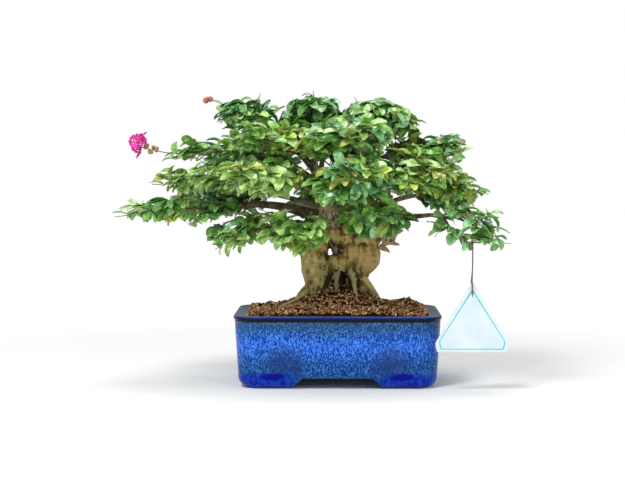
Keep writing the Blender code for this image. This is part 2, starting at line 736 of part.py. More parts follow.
def make_tag(home, cutters, finish):
    x, y = TAG_PLACE
    outline = [(-TAG_APEX_HALF, TAG_APEX_UP - TAG_APEX_EASE), (0, TAG_APEX_UP),
               (TAG_APEX_HALF, TAG_APEX_UP - TAG_APEX_EASE),
               (TAG_HALF_SHOULDER, -TAG_SHOULDER_DOWN), (TAG_HALF_BOTTOM, -TAG_BOTTOM_DOWN),
               (-TAG_HALF_BOTTOM, -TAG_BOTTOM_DOWN), (-TAG_HALF_SHOULDER, -TAG_SHOULDER_DOWN)]
    rings = [[(x + u, y + s * TAG_THICK / 2, TAG_HOLE_Z + v) for u, v in outline] for s in (1, -1)]
    tag = add_object("tag", mesh_from("tag", loft(rings)), home, finish)
    punch = bmesh.new()
    place = Matrix.Translation((x, y, TAG_HOLE_Z)) @ Matrix.Rotation(math.pi / 2, 4, "X")
    bmesh.ops.create_cone(punch, cap_ends=True, segments=20, radius1=TAG_HOLE_RADIUS,
                          radius2=TAG_HOLE_RADIUS, depth=TAG_THICK * 6, matrix=place)
    cutter = add_object("tag_punch", mesh_from("tag_punch", punch), cutters)
    as_cutter(cutter)
    boolean(tag, cutter)
    apply_modifiers(tag)
    return tag


def wire_loop(middle, half_depth, half_height):
    """A closed ring of wire that stands in the YZ plane."""
    form = bmesh.new()
    rounds = 12
    sides = 4
    rings = []
    for k in range(rounds):
        turn = 2 * math.pi * k / rounds
        out = Vector((0, math.cos(turn), math.sin(turn)))
        spot = middle + Vector((0, half_depth * out.y, half_height * out.z))
        ring = []
        for s in range(sides):
            a = 2 * math.pi * s / sides
            ring.append(form.verts.new(spot + TIE_RADIUS * (out * math.cos(a)
                                                            + Vector((1, 0, 0)) * math.sin(a))))
        rings.append(ring)
    for k in range(rounds):
        for s in range(sides):
            t = (s + 1) % sides
            low = rings[k]
            high = rings[(k + 1) % rounds]
            form.faces.new((low[s], low[t], high[t], high[s]))
    return form


def make_tie(home, finish):
    x, y = TAG_PLACE
    low_end = TAG_HOLE_Z - TIE_SAG
    forms = [
        tube([Vector((x, y, TIE_LOW_LOOP_TOP - TIE_LAP[0])),
              Vector((x, y, TIE_TOP_Z - TIE_TOP_LOOP + TIE_LAP[1]))],
             [TIE_RADIUS, TIE_RADIUS], 4),
        wire_loop(Vector((x, y, TIE_TOP_Z)), TIE_TOP_LOOP, TIE_TOP_LOOP),
        wire_loop(Vector((x, y, (TIE_LOW_LOOP_TOP + low_end) / 2)), TIE_LOW_LOOP_DEPTH,
                  (TIE_LOW_LOOP_TOP - low_end) / 2),
    ]
    return fuse("tag_tie", forms, home, finish)


# ---------------------------------------------------------------- assembly

def limb_object(name, path, radii, home, finish):
    return add_object(name, mesh_from(name, tube(path, radii, BOUGH_SIDES)), home, finish)


def tree_in_mm(mesh):
    return BVHTree.FromPolygons([v.co / MM for v in mesh.vertices], [p.vertices for p in mesh.polygons])


def main():
    clear_scene()
    home = new_collection("bonsai_crape_myrtle")
    cutters = new_collection("cutters")
    glaze = material("blue_glaze", (0.02, 0.09, 0.36), 0.16, coat=0.6)
    earth = material("soil_grains", (0.22, 0.1, 0.055), 0.95)
    bark = material("bark", (0.36, 0.27, 0.14), 0.75)
    young = material("bough_bark", (0.28, 0.19, 0.11), 0.8)
    leaf = material("leaves", (0.07, 0.27, 0.06), 0.35)
    card = material("tag_card", (0.9, 0.92, 0.92), 0.4)
    wire = material("tie_wire", (0.12, 0.08, 0.07), 0.6)

    pot = make_pot(home, cutters, glaze)
    soil = make_soil(home, earth)
    trunk = make_trunk(home, cutters, bark)
    room = inflated(trunk, TRUNK_ROOM, cutters)
    boolean(soil, room)
    apply_modifiers(soil)
    largest_piece(soil.data)
    tag = make_tag(home, cutters, card)
    tie = make_tie(home, wire)

    masses = crown()
    share_space(masses)
    limbs = {"trunk": tree_in_mm(room.data), "tag": tree_in_mm(inflated(tag, TAG_ROOM, cutters).data),
             "tie": tree_in_mm(inflated(tie, GAP, cutters).data)}
    boughs = []
    for mass in masses:
        path = mass.bough_path()
        radii = taper(len(path), mass.girth[0], mass.girth[1], 0.8)
        bough = limb_object("bough_" + mass.name, path, radii, home, young)
        boughs.append((bough, path))
        limbs[mass.name] = tree_in_mm(inflated(bough, GAP, cutters).data)
        boolean(bough, room)
        apply_modifiers(bough)
        largest_piece(bough.data)

    crowns = []
    for number, (mass, (bough, path)) in enumerate(zip(masses, boughs)):
        grower = Grower(mass, limbs, random.Random(SEED + number))
        ahead = (path[-1] - path[-2]).normalized()
        stem, radii = grower.stem(path[-1] + ahead * GAP, ahead)
        grower.side_twigs(stem, radii)
        grower.leaves()
        if mass.name == "flower_shoot":
            petal_cluster(grower, stem[-1], BLOSSOM_BEAD, BLOSSOM_PETALS, BLOSSOM_PETAL)
            bead_run(grower, [stem[-2] + Vector((4 * k, (-1) ** k * 2, 1)) for k in range(3)], CAPSULE_RADIUS)
        if mass.name == "upper_left":
            bead_run(grower, [stem[-1], stem[-1] + Vector((-5, 1, 2))], BUD_RADIUS)
        crowns.append(fuse("foliage_" + mass.name, grower.forms, home, leaf))

    pieces = [pot, soil, trunk, tag, tie, *[b for b, _ in boughs], *crowns]
    stand_on_origin(pieces, home)


def stand_on_origin(pieces, home):
    """Hang every piece on one empty, and move it so that the model's box stands on the origin."""
    corners = [vertex.co for piece in pieces for vertex in piece.data.vertices]
    low = [min(c[i] for c in corners) for i in range(3)]
    high = [max(c[i] for c in corners) for i in range(3)]
    base = bpy.data.objects.new("bonsai_base", None)
    home.objects.link(base)
    base.location = (-(low[0] + high[0]) / 2, -(low[1] + high[1]) / 2, -low[2])
    for piece in pieces:
        piece.parent = base


main()
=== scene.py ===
"""Looks of the potted bonsai crape myrtle: bark, moss, glossy leaves, loose soil and running glaze.

Lengths are written in millimetres about the middle of the pot, +X right, +Y back, +Z up, and
`place` turns them into the frame's metres.
"""

import math
import random
from itertools import permutations

import bmesh
import bpy
import numpy as np
from mathutils import Matrix, Vector, noise
from mathutils.bvhtree import BVHTree


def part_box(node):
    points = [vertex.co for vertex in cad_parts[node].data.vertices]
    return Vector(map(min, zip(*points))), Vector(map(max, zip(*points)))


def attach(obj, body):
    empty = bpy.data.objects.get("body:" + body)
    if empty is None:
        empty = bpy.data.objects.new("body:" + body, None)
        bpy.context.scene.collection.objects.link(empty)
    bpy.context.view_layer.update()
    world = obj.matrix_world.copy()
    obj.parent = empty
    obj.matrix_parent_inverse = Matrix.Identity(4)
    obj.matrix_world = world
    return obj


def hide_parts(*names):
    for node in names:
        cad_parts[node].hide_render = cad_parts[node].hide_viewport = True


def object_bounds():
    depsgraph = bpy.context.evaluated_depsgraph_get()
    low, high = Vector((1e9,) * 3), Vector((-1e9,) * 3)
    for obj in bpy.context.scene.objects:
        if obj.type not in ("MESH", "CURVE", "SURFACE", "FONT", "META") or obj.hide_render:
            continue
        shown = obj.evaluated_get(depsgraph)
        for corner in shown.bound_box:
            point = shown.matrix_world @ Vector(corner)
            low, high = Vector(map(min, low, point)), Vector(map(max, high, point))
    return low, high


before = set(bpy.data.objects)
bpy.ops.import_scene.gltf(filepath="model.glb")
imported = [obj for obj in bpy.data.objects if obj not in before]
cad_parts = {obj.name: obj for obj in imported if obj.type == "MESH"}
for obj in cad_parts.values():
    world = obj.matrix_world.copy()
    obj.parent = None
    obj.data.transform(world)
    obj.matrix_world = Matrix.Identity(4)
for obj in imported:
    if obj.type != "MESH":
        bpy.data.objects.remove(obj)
cad_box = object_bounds()

MM = 0.001
UP = Vector((0, 0, 1))
pot_low, pot_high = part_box("pot")
POT_MIDDLE = Vector(((pot_low.x + pot_high.x) / 2, (pot_low.y + pot_high.y) / 2, 0.0))
CAD_LOW = (cad_box[0] - POT_MIDDLE) / MM
CAD_HIGH = (cad_box[1] - POT_MIDDLE) / MM

# Pot
POT_LENGTH, POT_DEPTH, POT_HEIGHT = (pot_high - pot_low) / MM
POT_CORNER = 33.0
CORNER_STEPS = 12
LIP_HEIGHT = 4.5
LIP_PROUD = 1.3
RIM_WIDTH = 16.0
WALL_LEAN = 5.2
WALL_TUCK = 9.0
FOOT_HEIGHT = 13.0
FLOOR_THICK = 5.0
FOOT_NOTCH_LONG = (111.0, 83.0)
FOOT_NOTCH_SHORT = (76.0, 54.0)
DRAIN_RADIUS = 7.0
DRAIN_SPACING = 110.0

# Soil
SOIL_EDGE_DROP = 3.0
SOIL_SWELL = (14.0, 110.0, 85.0)
SOIL_MOUND = (20.0, 42.0, 36.0)
SOIL_HEAP = (86.0, -6.0, 9.0, 15.0)
SOIL_LUMP = 2.2
GRAIN_COUNT = 6500
GRAIN_SIZE = (1.0, 2.3)
BED_EDGE_Z = 79.0
GRAINS = {
    "rust": ((0.350, 0.165, 0.065), 0.42),
    "brown": ((0.175, 0.098, 0.045), 0.26),
    "pale": ((0.58, 0.385, 0.20), 0.17),
    "dark": ((0.018, 0.010, 0.006), 0.15),
}

# Tag
tag_low, tag_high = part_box("tag")
TAG_PLACE = (((tag_low + tag_high) / 2 - POT_MIDDLE) / MM).xy
TAG_HOLE_Z = 112.5
TAG_APEX_UP = 17.5
TAG_SHOULDER_DOWN = 56.0
TAG_BOTTOM_DOWN = 66.0
TAG_HALF_SHOULDER = 43.5
TAG_HALF_BOTTOM = 41.0
TAG_THICK = 1.0
TAG_HOLE_RADIUS = 2.6
TIE_TOP_Z = 175.0
TIE_RADIUS = 0.72

# Bark
BARK_FINENESS = 1.02
CREASE_PASSES = ((8, 1.6), (45, 0.42))

# Growth
LEAF_LENGTH = 28.0
LEAF_WIDTH = 14.5
LEAF_THICK = 0.22
LEAF_PITCH = 12.0
HANDS = (-1, 1)
STEM_TIP_RADIUS = 0.45
TWIG_TIP_RADIUS = 0.38
ARM_RADIUS = 1.5
LONGEST_TWIG = 70.0
SHORTEST_TWIG = 9.0
TIP_LEAF_SHARE = 0.7
TWIG_ROLL = 1.0
LEAF_ROLL = 0.8
YOUNG_LEAF_CUT = 0.45
SPACE_SLACK = 1.06
STEM_SLACK = 1.5
CELL_MARGIN = 0.2

# Blossom
FLOWER_HEADS = [(3, 0, 13), (-7, -3, 6), (4, -6, 3), (-4, 4, -4), (8, 2, 7), (-1, -3, 9), (2, -2, -8)]
FLOWER_BUDS = [((-1, 0, 1), 3.6), ((-6.5, 1, -0.5), 3.9), ((-4, -3, 2), 2.2)]
CAPSULE_COUNT = 9

# Studio
SKY_OVERHEAD = 0.35
LAMPS = {
    "key": ((-0.7, -1.2, 1.7), 0.7, 26.0),
    "fill": ((1.3, -1.3, 0.9), 1.0, 6.0),
    "top": ((0.2, 0.3, 2.0), 1.0, 14.0),
}
LAMP_TARGET = Vector((0, 0, 0.2))
CAMERA_LENS = 93.5
CAMERA_SPOT = (0.0, -2000.0, 266.8)
CAMERA_TARGET = (-31.0, 0.0, 174.9)


def place(point):
    return POT_MIDDLE + Vector(point) * MM


# ---------- shading language

def reckons(operation, reflected=False):
    """A method that makes one Math node from a signal and another value."""
    def method(signal, other):
        return signal.maths(operation, *((other, signal) if reflected else (signal, other)))
    return method


class Signal:
    """A node's output, with the arithmetic of plain numbers."""

    __add__ = reckons("ADD")
    __radd__ = reckons("ADD", reflected=True)
    __sub__ = reckons("SUBTRACT")
    __rsub__ = reckons("SUBTRACT", reflected=True)
    __mul__ = reckons("MULTIPLY")
    __rmul__ = reckons("MULTIPLY", reflected=True)
    __truediv__ = reckons("DIVIDE")
    __pow__ = reckons("POWER")

    def __init__(self, graph, socket):
        self.graph = graph
        self.socket = socket

    def maths(self, operation, *operands):
        return self.graph.node("Math", {"operation": operation}, dict(enumerate(operands)))

    def __abs__(self):
        return self.maths("ABSOLUTE", self)

    def rise(self, low, high):
        """0 below low, 1 above high, smooth between."""
        inputs = {"Value": self, "From Min": low, "From Max": high}
        return self.graph.node("MapRange", {"interpolation_type": "SMOOTHSTEP"}, inputs)

    def hump(self, middle, reach):
        """1 at the middle, falling to nothing at the reach on each side."""
        return 1 - abs(self - middle).rise(0.0, reach)


class Graph:
    """A node tree in which signals are made."""

    def __init__(self, tree):
        self.tree = tree

    def node(self, kind, settings=None, inputs=None, outlet=0):
        made = self.tree.nodes.new("ShaderNode" + kind)
        for key, value in (settings or {}).items():
            setattr(made, key, value)
        for key, value in (inputs or {}).items():
            if isinstance(value, Signal):
                self.tree.links.new(value.socket, made.inputs[key])
            else:
                made.inputs[key].default_value = value
        return Signal(self, made.outputs[outlet])


class Finish(Graph):
    """One material, built round a Principled shader."""

    def __init__(self, name, **plain):
        self.material = bpy.data.materials.new(name)
        self.material.use_nodes = True
        super().__init__(self.material.node_tree)
        self.shader = self.tree.nodes["Principled BSDF"]
        for socket, value in plain.items():
            self.shader.inputs[socket.replace("_", " ").title().replace("Ior", "IOR")].default_value = value

    def spot(self):
        """Where a point of the surface lies on the object, in metres."""
        return self.node("TexCoord", outlet=3)

    def axes(self):
        """The three coordinates in millimetres about the middle of the pot."""
        parts = self.node("SeparateXYZ", {}, {0: self.spot()})
        sockets = parts.socket.node.outputs
        return [(Signal(self, sockets[i]) - POT_MIDDLE[i]) / MM for i in range(3)]

    def noise(self, size, detail=2.0, stretch=(1, 1, 1), roughness=0.5, warp=0.0):
        """Noise whose features are about `size` millimetres, drawn out along each axis by `stretch`."""
        scale = tuple(1.0 / (size * MM * s) for s in stretch)
        grid = self.node("VectorMath", {"operation": "MULTIPLY"}, {0: self.spot(), 1: scale})
        return self.node("TexNoise", {}, {"Vector": grid, "Scale": 1.0, "Detail": detail,
                                          "Roughness": roughness, "Distortion": warp})

    def mix(self, share, low, high):
        """Colour between two others; each is a plain colour or a signal."""
        low = low if isinstance(low, Signal) else (*low, 1.0)
        high = high if isinstance(high, Signal) else (*high, 1.0)
        return self.node("Mix", {"data_type": "RGBA"}, {0: share, 6: low, 7: high}, outlet=2)

    def over(self, coat, *layers):
        """The coat with each layer, a share and a colour, laid over it in turn."""
        for share, colour in layers:
            coat = self.mix(share, coat, colour)
        return coat

    def feed(self, **signals):
        for socket, signal in signals.items():
            self.tree.links.new(signal.socket, self.shader.inputs[socket.replace("_", " ").title()])

    def relief(self, height, strength, depth):
        """Bump of the given depth in millimetres, which completes the material."""
        inputs = {"Height": height, "Strength": strength, "Distance": depth * MM}
        self.feed(normal=self.node("Bump", {}, inputs))
        return self.material


# ---------- finishes

def shades(colour, dark, light):
    """A darker and a lighter tone of one colour."""
    return tuple(c * dark for c in colour), tuple(min(1.0, c * light) for c in colour)


def drifting(name, tones, grain, band=(0.3, 0.7), **plain):
    """A finish whose colour drifts between two tones."""
    made = Finish(name, **plain)
    made.feed(base_color=made.mix(made.noise(*grain).rise(*band), *tones))
    return made


def leaf_finish(name, colour, gloss=0.34):
    """A waxy leaf face, on which fine veins catch the light."""
    made = drifting(name, shades(colour, 0.6, 1.3), (6.0, 2.0), roughness=gloss,
                    specular_ior_level=0.8, coat_weight=0.5, coat_roughness=0.24)
    made.feed(roughness=made.noise(3.0, 1.0) * 0.2 + (gloss - 0.1))
    return made.relief(made.noise(1.1, 1.0), 0.35, 0.25)


def twig_finish(name, old, young):
    made = drifting(name, (old, young), (5.0, 3.0), (0.35, 0.65), roughness=0.7)
    return made.relief(made.noise(0.8, 2.0, (1, 1, 2)), 0.5, 0.2)


def bark_finish():
    """Smooth ochre bark: mossy low down, rusty on the bulb, bleached where dead, with painted shade in its
    hollows, in its creases and in the gap between the roots, and a painted highlight on its ridges.
    """
    made = Finish("bark", roughness=0.62, specular_ior_level=0.18)
    x, y, z = made.axes()
    crease = made.node("Attribute", {"attribute_name": "crease"}, outlet=2)
    broad = made.noise(24.0, 3.0, (1, 1, 1.5), 0.55)
    mottle = made.noise(7.5, 5.0, (1, 1, 1.3), 0.66)
    speck = made.noise(2.0, 4.0, (1, 1, 1.3), 0.65)

    def speckled(dark, light, low=0.4, high=0.6):
        return made.mix(speck.rise(low, high), dark, light)

    near_soil = 1 - z.rise(104.0, 172.0)
    between_roots = x.hump(4.0, 34.0)
    damp = near_soil * 0.17 + between_roots * near_soil * 0.26
    algae = made.noise(16.0, 4.0, (1, 1, 1.6), 0.6) * 0.75 + speck * 0.25 + damp
    rust = broad.rise(0.34, 0.54) * x.hump(36.0, 30.0) * z.hump(154.0, 38.0)
    dead = (mottle * 0.6 + z.rise(166.0, 205.0) * 0.4).rise(0.52, 0.66)
    stub = x.rise(56.0, 64.0) * z.rise(150.0, 160.0)
    # Painted shade: the gap between the roots and the cavity beside the slit are darkened, with noisy edges.
    recess_shade = between_roots * (1 - z.rise(122.0, 146.0)) * y.rise(-27.0, -10.0)
    hollow_shade = (x + z * 0.3).hump(48.0, 17.0) * z.hump(164.0, 14.0)
    painted_shade = (recess_shade * 1.3 + hollow_shade * 1.1 + (mottle - 0.5) * 1.2).rise(0.2, 0.6)
    ochre = made.mix(broad.rise(0.36, 0.64), (0.200, 0.120, 0.020), (0.480, 0.360, 0.105))
    coat = made.over(
        ochre,
        (mottle.rise(0.50, 0.66) * 0.7, (0.68, 0.57, 0.24)),
        ((1 - mottle).rise(0.50, 0.64) * 0.6, (0.120, 0.068, 0.014)),
        (rust * 0.75, speckled((0.26, 0.100, 0.014), (0.50, 0.27, 0.06))),
        (algae.rise(0.53, 0.72) * 0.9, speckled((0.022, 0.026, 0.003), (0.155, 0.150, 0.020), 0.42)),
        (dead * 0.8, speckled((0.40, 0.24, 0.13), (0.80, 0.73, 0.56), 0.36)),
        (stub * 0.85, speckled((0.085, 0.048, 0.022), (0.36, 0.24, 0.14))),
        # painted shade, near black, between the roots and in the cavity by the slit
        (painted_shade * 0.96, (0.007, 0.007, 0.001)),
        # painted highlight: paler on the bark's ridges
        ((1 - crease.rise(0.0, 0.34)) * 0.3, (0.70, 0.58, 0.30)),
        # painted shade: darker in the bark's creases
        (crease.rise(0.45, 1.15) * 0.8, (0.030, 0.023, 0.007)),
    )
    made.feed(base_color=coat, roughness=mottle * 0.3 + 0.45)
    return made.relief(speck + made.noise(0.9, 2.0) * 0.5, 0.6, 0.6)


def bough_finish():
    made = Finish("bough_bark", roughness=0.75)
    speck = made.noise(2.2, 4.0, (1, 1, 1), 0.65)
    coat = made.mix(made.noise(9.0, 3.0).rise(0.4, 0.62), (0.10, 0.068, 0.035), (0.27, 0.20, 0.11))
    coat = made.mix(speck.rise(0.55, 0.7), coat, (0.04, 0.026, 0.014))
    made.feed(base_color=coat)
    return made.relief(speck, 0.6, 0.5)


def glaze_finish():
    """Blue glaze that has run down: slate at the lip, bright flecks at mid height, deep pools low down, with
    painted shade under the lip and a painted dark reflection low on each side.
    """
    made = Finish("blue_glaze", roughness=0.13, specular_ior_level=0.1, coat_weight=0.03,
                  coat_roughness=0.05)
    x, y, z = made.axes()
    sway = made.noise(38.0, 2.0, (1, 1, 3)) - 0.5
    height = z + sway * 20.0
    foot_height = z + sway * 6.0
    fleck = made.noise(1.25, 1.0, (1, 1, 2.0), 0.5, 0.5)
    coarse = made.noise(4.5, 2.0, (1, 1, 2.4), 0.5, 0.3)
    bright = height.hump(51.0, 25.0)
    front = 1 - abs(x).rise(112.0, 120.0)

    def dark_reflection_patch(across, middle, low, high):
        """1 in a round, uneven spot low on the wall, so far to each side of the middle, where a dark
        reflection is painted.
        """
        off_centre = (abs(across) - middle) ** 2.0 + ((z - 28.0) * 1.05) ** 2.0
        return 1 - (off_centre + coarse * 260.0).rise(low, high)

    def by_side(on_front, on_end):
        return on_front * front + on_end * (1 - front)

    deep = made.mix((height + coarse * 8.0).rise(62.0, 84.0), (0.001, 0.030, 0.19), (0.014, 0.046, 0.120))
    light = made.mix(bright, (0.040, 0.200, 0.50), (0.065, 0.265, 0.88))
    over_foot = by_side(abs(x).rise(42.0, 62.0), abs(y).rise(26.0, 40.0))
    pool = foot_height.hump(14.5, 7.0) * abs(x).hump(77.0, 25.0) * front
    lip_line = z.rise(84.3, 84.9)
    rim_top = z.rise(85.5, 85.9)
    bare_edge = 1 - z.rise(0.4, 1.3)
    coat = made.mix((fleck * 0.86 + coarse * 0.14 + bright * 0.035).rise(0.49, 0.61),
                    made.mix(bright, deep, (0.002, 0.038, 0.36)),
                    made.mix(z.rise(66.0, 80.0), light, (0.055, 0.155, 0.34)))
    coat = made.over(
        coat,
        # painted dark reflection, a round spot low on each side
        (by_side(dark_reflection_patch(x, 64.0, 120.0, 1100.0), dark_reflection_patch(y, 42.0, 100.0, 850.0)) * 0.7, (0.010, 0.034, 0.160)),
        ((1 - foot_height.rise(13.0, 20.0)) * over_foot,
         made.mix(coarse.rise(0.42, 0.58), (0.001, 0.016, 0.28), (0.006, 0.048, 0.46))),
        (pool.rise(0.1, 0.6), (0.0, 0.002, 0.24)),
        # painted shade, near black, on the lip's lower face and just under it
        (z.rise(79.2, 80.4) * (1 - lip_line) * 0.97, (0.003, 0.004, 0.010)),
        (lip_line * (1 - rim_top), (0.003, 0.014, 0.26)),
        (rim_top, made.mix(coarse.rise(0.4, 0.6), (0.050, 0.075, 0.130), (0.10, 0.135, 0.20))),
        (bare_edge, (0.20, 0.17, 0.14)),
    )
    made.feed(base_color=coat, roughness=made.noise(14.0, 2.0) * 0.1 + 0.07 + bare_edge * 0.6 + rim_top * 0.4)
    return made.relief(coarse + fleck * 0.3, 0.10, 0.5)


def grain_finish(name, colour):
    made = drifting(name, shades(colour, 0.32, 1.35), (1.3, 3.0), (0.34, 0.64), roughness=0.92,
                    specular_ior_level=0.2)
    return made.relief(made.noise(0.6, 2.0), 0.8, 0.4)


def card_finish():
    made = drifting("tag_card", ((0.62, 0.73, 0.80), (0.70, 0.80, 0.85)), (24.0, 2.0), roughness=0.3,
                    coat_weight=0.3, coat_roughness=0.15)
    return made.relief(made.noise(2.0, 1.0), 0.05, 0.1)


def plain_finish(name, colour, rough):
    """A finish whose colour and gloss drift a little, for small pieces."""
    made = drifting(name, shades(colour, 0.75, 1.2), (2.0, 2.0), roughness=rough)
    drift = made.noise(2.0, 2.0)
    made.feed(roughness=drift * 0.2 + (rough - 0.1))
    return made.relief(drift, 0.4, 0.15)


# ---------- meshes from named sizes

def link_new(name, data):
    item = bpy.data.objects.new(name, data)
    bpy.context.scene.collection.objects.link(item)
    return item


def dress(piece, finishes, body, slot, stands_for=(), smooth=True):
    """Gives a piece its finishes and its body, and hides the solids that it stands for; the slot is not used.
    """
    piece.data.materials.clear()
    for finish in finishes:
        piece.data.materials.append(finish)
    if smooth:
        piece.data.shade_smooth()
    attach(piece, body)
    if stands_for:
        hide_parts(*stands_for)


def add_piece(name, mesh, *looks, **more):
    piece = link_new(name, mesh)
    dress(piece, *looks, **more)
    return piece


def mesh_of(name, points, faces, slots=None):
    """Mesh from arrays in millimetres about the pot's middle."""
    mesh = bpy.data.meshes.new(name)
    spots = np.asarray(points, float) * MM + np.array(POT_MIDDLE)
    mesh.from_pydata(spots.tolist(), [], faces if isinstance(faces, list) else faces.tolist())
    if slots is not None:
        mesh.polygons.foreach_set("material_index", np.asarray(slots, np.int32))
    mesh.update()
    return mesh


def mesh_from_form(name, form):
    bmesh.ops.recalc_face_normals(form, faces=form.faces)
    mesh = bpy.data.meshes.new(name)
    bmesh.ops.scale(form, vec=(MM, MM, MM), verts=form.verts)
    bmesh.ops.translate(form, vec=POT_MIDDLE, verts=form.verts)
    form.to_mesh(mesh)
    form.free()
    return mesh


def bake_modifiers(item):
    bpy.context.view_layer.update()
    graph = bpy.context.evaluated_depsgraph_get()
    shaped = bpy.data.meshes.new_from_object(item.evaluated_get(graph))
    item.modifiers.clear()
    item.data = shaped


def scatter(rng, *spans):
    """A vector with each part drawn at random from its span."""
    return Vector([rng.uniform(low, high) for low, high in spans])


def loft(rings):
    form = bmesh.new()
    loops = [[form.verts.new(point) for point in ring] for ring in rings]
    count = len(rings[0])
    for low, high in zip(loops, loops[1:]):
        for i in range(count):
            j = (i + 1) % count
            form.faces.new((low[i], low[j], high[j], high[i]))
    form.faces.new(list(reversed(loops[0])))
    form.faces.new(loops[-1])
    return form


def smooth_path(points, pieces):
    """Catmull-Rom curve through the points."""
    points = [Vector(p) for p in points]
    path = []
    ends = [points[0] * 2 - points[1], *points, points[-1] * 2 - points[-2]]
    for a, b, c, d in zip(ends, ends[1:], ends[2:], ends[3:]):
        for i in range(pieces):
            t = i / pieces
            path.append(0.5 * (2 * b + (c - a) * t + (2 * a - 5 * b + 4 * c - d) * t * t
                               + (3 * b - a - 3 * c + d) * t ** 3))
    path.append(points[-1])
    return path


def tube_rings(path, radii, sides):
    rings = []
    side = Vector((0.13, 0.21, 1.0))
    for i, centre in enumerate(path):
        ahead = (path[min(i + 1, len(path) - 1)] - path[max(i - 1, 0)]).normalized()
        across = ahead.cross(side)
        if across.length < 0.2:
            across = ahead.cross(Vector((1.0, 0.1, 0.0)))
        across.normalize()
        side = across.cross(ahead)
        turns = [2 * math.pi * k / sides for k in range(sides)]
        rings.append([centre + radii[i] * (across * math.cos(a) + side * math.sin(a)) for a in turns])
    return rings


class Bundle:
    """Collects tubes and small solids that are joined into one mesh."""

    def __init__(self):
        self.points = []
        self.faces = []

    def tube(self, path, radii, sides):
        points = [p for ring in tube_rings(path, radii, sides) for p in ring]
        last = len(points) - sides
        faces = []
        for a in range(0, last, sides):
            for s in range(sides):
                t = (s + 1) % sides
                faces.append((a + s, a + t, a + sides + t, a + sides + s))
        faces.append(reversed(range(sides)))
        faces.append(range(last, last + sides))
        self.solid(points, faces)

    def solid(self, points, faces):
        start = len(self.points)
        self.points.extend(tuple(p) for p in points)
        self.faces.extend(tuple(start + i for i in face) for face in faces)

    def mesh(self, name):
        return mesh_of(name, self.points, self.faces)


def ball(subdivisions):
    form = bmesh.new()
    bmesh.ops.create_icosphere(form, subdivisions=subdivisions, radius=1.0)
    points = [v.co.copy() for v in form.verts]
    faces = [tuple(v.index for v in f.verts) for f in form.faces]
    form.free()
    return points, faces


# ---------- pot

def pot_ring(z, inset):
    """The pot's rounded outline at one height, drawn in all round."""
    radius = max(POT_CORNER - inset * 0.9, 6.0)
    ring = []
    for turn, (sx, sy) in enumerate([(1, 1), (-1, 1), (-1, -1), (1, -1)]):
        cx = sx * (POT_LENGTH / 2 - inset - radius)
        cy = sy * (POT_DEPTH / 2 - inset - radius)
        for step in range(CORNER_STEPS + 1):
            angle = math.radians(90 * (turn + step / CORNER_STEPS))
            ring.append((cx + radius * math.cos(angle), cy + radius * math.sin(angle), z))
    return ring


def wall_inset(z):
    top = POT_HEIGHT - LIP_HEIGHT
    return LIP_PROUD + WALL_LEAN * (1 - z / top) + WALL_TUCK * max(0.0, 1 - z / 14.0) ** 3


def inner_inset(z):
    return RIM_WIDTH + (POT_HEIGHT - z) * 0.06


def carve(item, form):
    cutter = link_new("cutter", mesh_from_form("cutter", form))
    cut = item.modifiers.new("cut", "BOOLEAN")
    cut.object = cutter
    cut.solver = "EXACT"
    bake_modifiers(item)
    bpy.data.objects.remove(cutter)


def drill(radius, depth, sides, centre):
    form = bmesh.new()
    bmesh.ops.create_cone(form, cap_ends=True, segments=sides, radius1=radius, radius2=radius,
                          depth=depth, matrix=centre)
    return form


def notch(along, bottom, top, length):
    """The gap between two feet, cut right through along one axis."""
    low = -2.0
    spread = bottom + (bottom - top) * (0 - low) / FOOT_HEIGHT
    section = [(-spread / 2, low), (spread / 2, low), (top / 2, FOOT_HEIGHT), (-top / 2, FOOT_HEIGHT)]
    ends = (-length / 2, length / 2)
    if along == "y":
        return loft([[(u, end, v) for u, v in section] for end in ends])
    return loft([[(end, u, v) for u, v in section] for end in ends])


def pot_profile():
    """Height and inset of each ring, up the wall, round the lip and down inside to the floor."""
    lip_low = POT_HEIGHT - LIP_HEIGHT
    floor = FOOT_HEIGHT + FLOOR_THICK
    wall = [(z, wall_inset(z)) for z in (0.0, 1.5, 3.0, 5.0, 7.5, 10.5, 14.0, 24.0, 45.0, 66.0)]
    wall += [(lip_low - 0.8, wall_inset(lip_low) + 0.25), (lip_low, wall_inset(lip_low) + 0.1)]
    lip = []
    for turn in range(7):
        angle = math.radians(-80 + 170 * turn / 6)
        lip.append((lip_low + LIP_HEIGHT / 2 * (1 + math.sin(angle)), 1.15 * (1 - math.cos(angle))))
    top = [(POT_HEIGHT, 4.0), (POT_HEIGHT, RIM_WIDTH - 2.2), (POT_HEIGHT - 0.6, RIM_WIDTH - 0.7)]
    inside = [(POT_HEIGHT - 2.2, inner_inset(POT_HEIGHT)), (floor, inner_inset(floor))]
    return [*wall, *lip, *top, *inside]


def make_pot(glaze):
    """The pot again, with finer corners, a rolled lip and softened edges."""
    form = loft([pot_ring(z, inset) for z, inset in pot_profile()])
    pot = link_new("glazed_pot", mesh_from_form("glazed_pot", form))
    carve(pot, notch("y", *FOOT_NOTCH_LONG, POT_DEPTH + 20))
    carve(pot, notch("x", *FOOT_NOTCH_SHORT, POT_LENGTH + 20))
    for side in (-1, 1):
        centre = Matrix.Translation((side * DRAIN_SPACING / 2, 0, FOOT_HEIGHT + FLOOR_THICK / 2))
        carve(pot, drill(DRAIN_RADIUS, FLOOR_THICK * 3, 28, centre))
    soften = pot.modifiers.new("soften", "BEVEL")
    soften.width = 1.1 * MM
    soften.segments = 3
    soften.limit_method = "ANGLE"
    soften.angle_limit = math.radians(28)
    bake_modifiers(pot)
    dress(pot, [glaze], "plant", "pot", ["pot"])
    pot.data.set_sharp_from_angle(angle=math.radians(40))


# ---------- soil

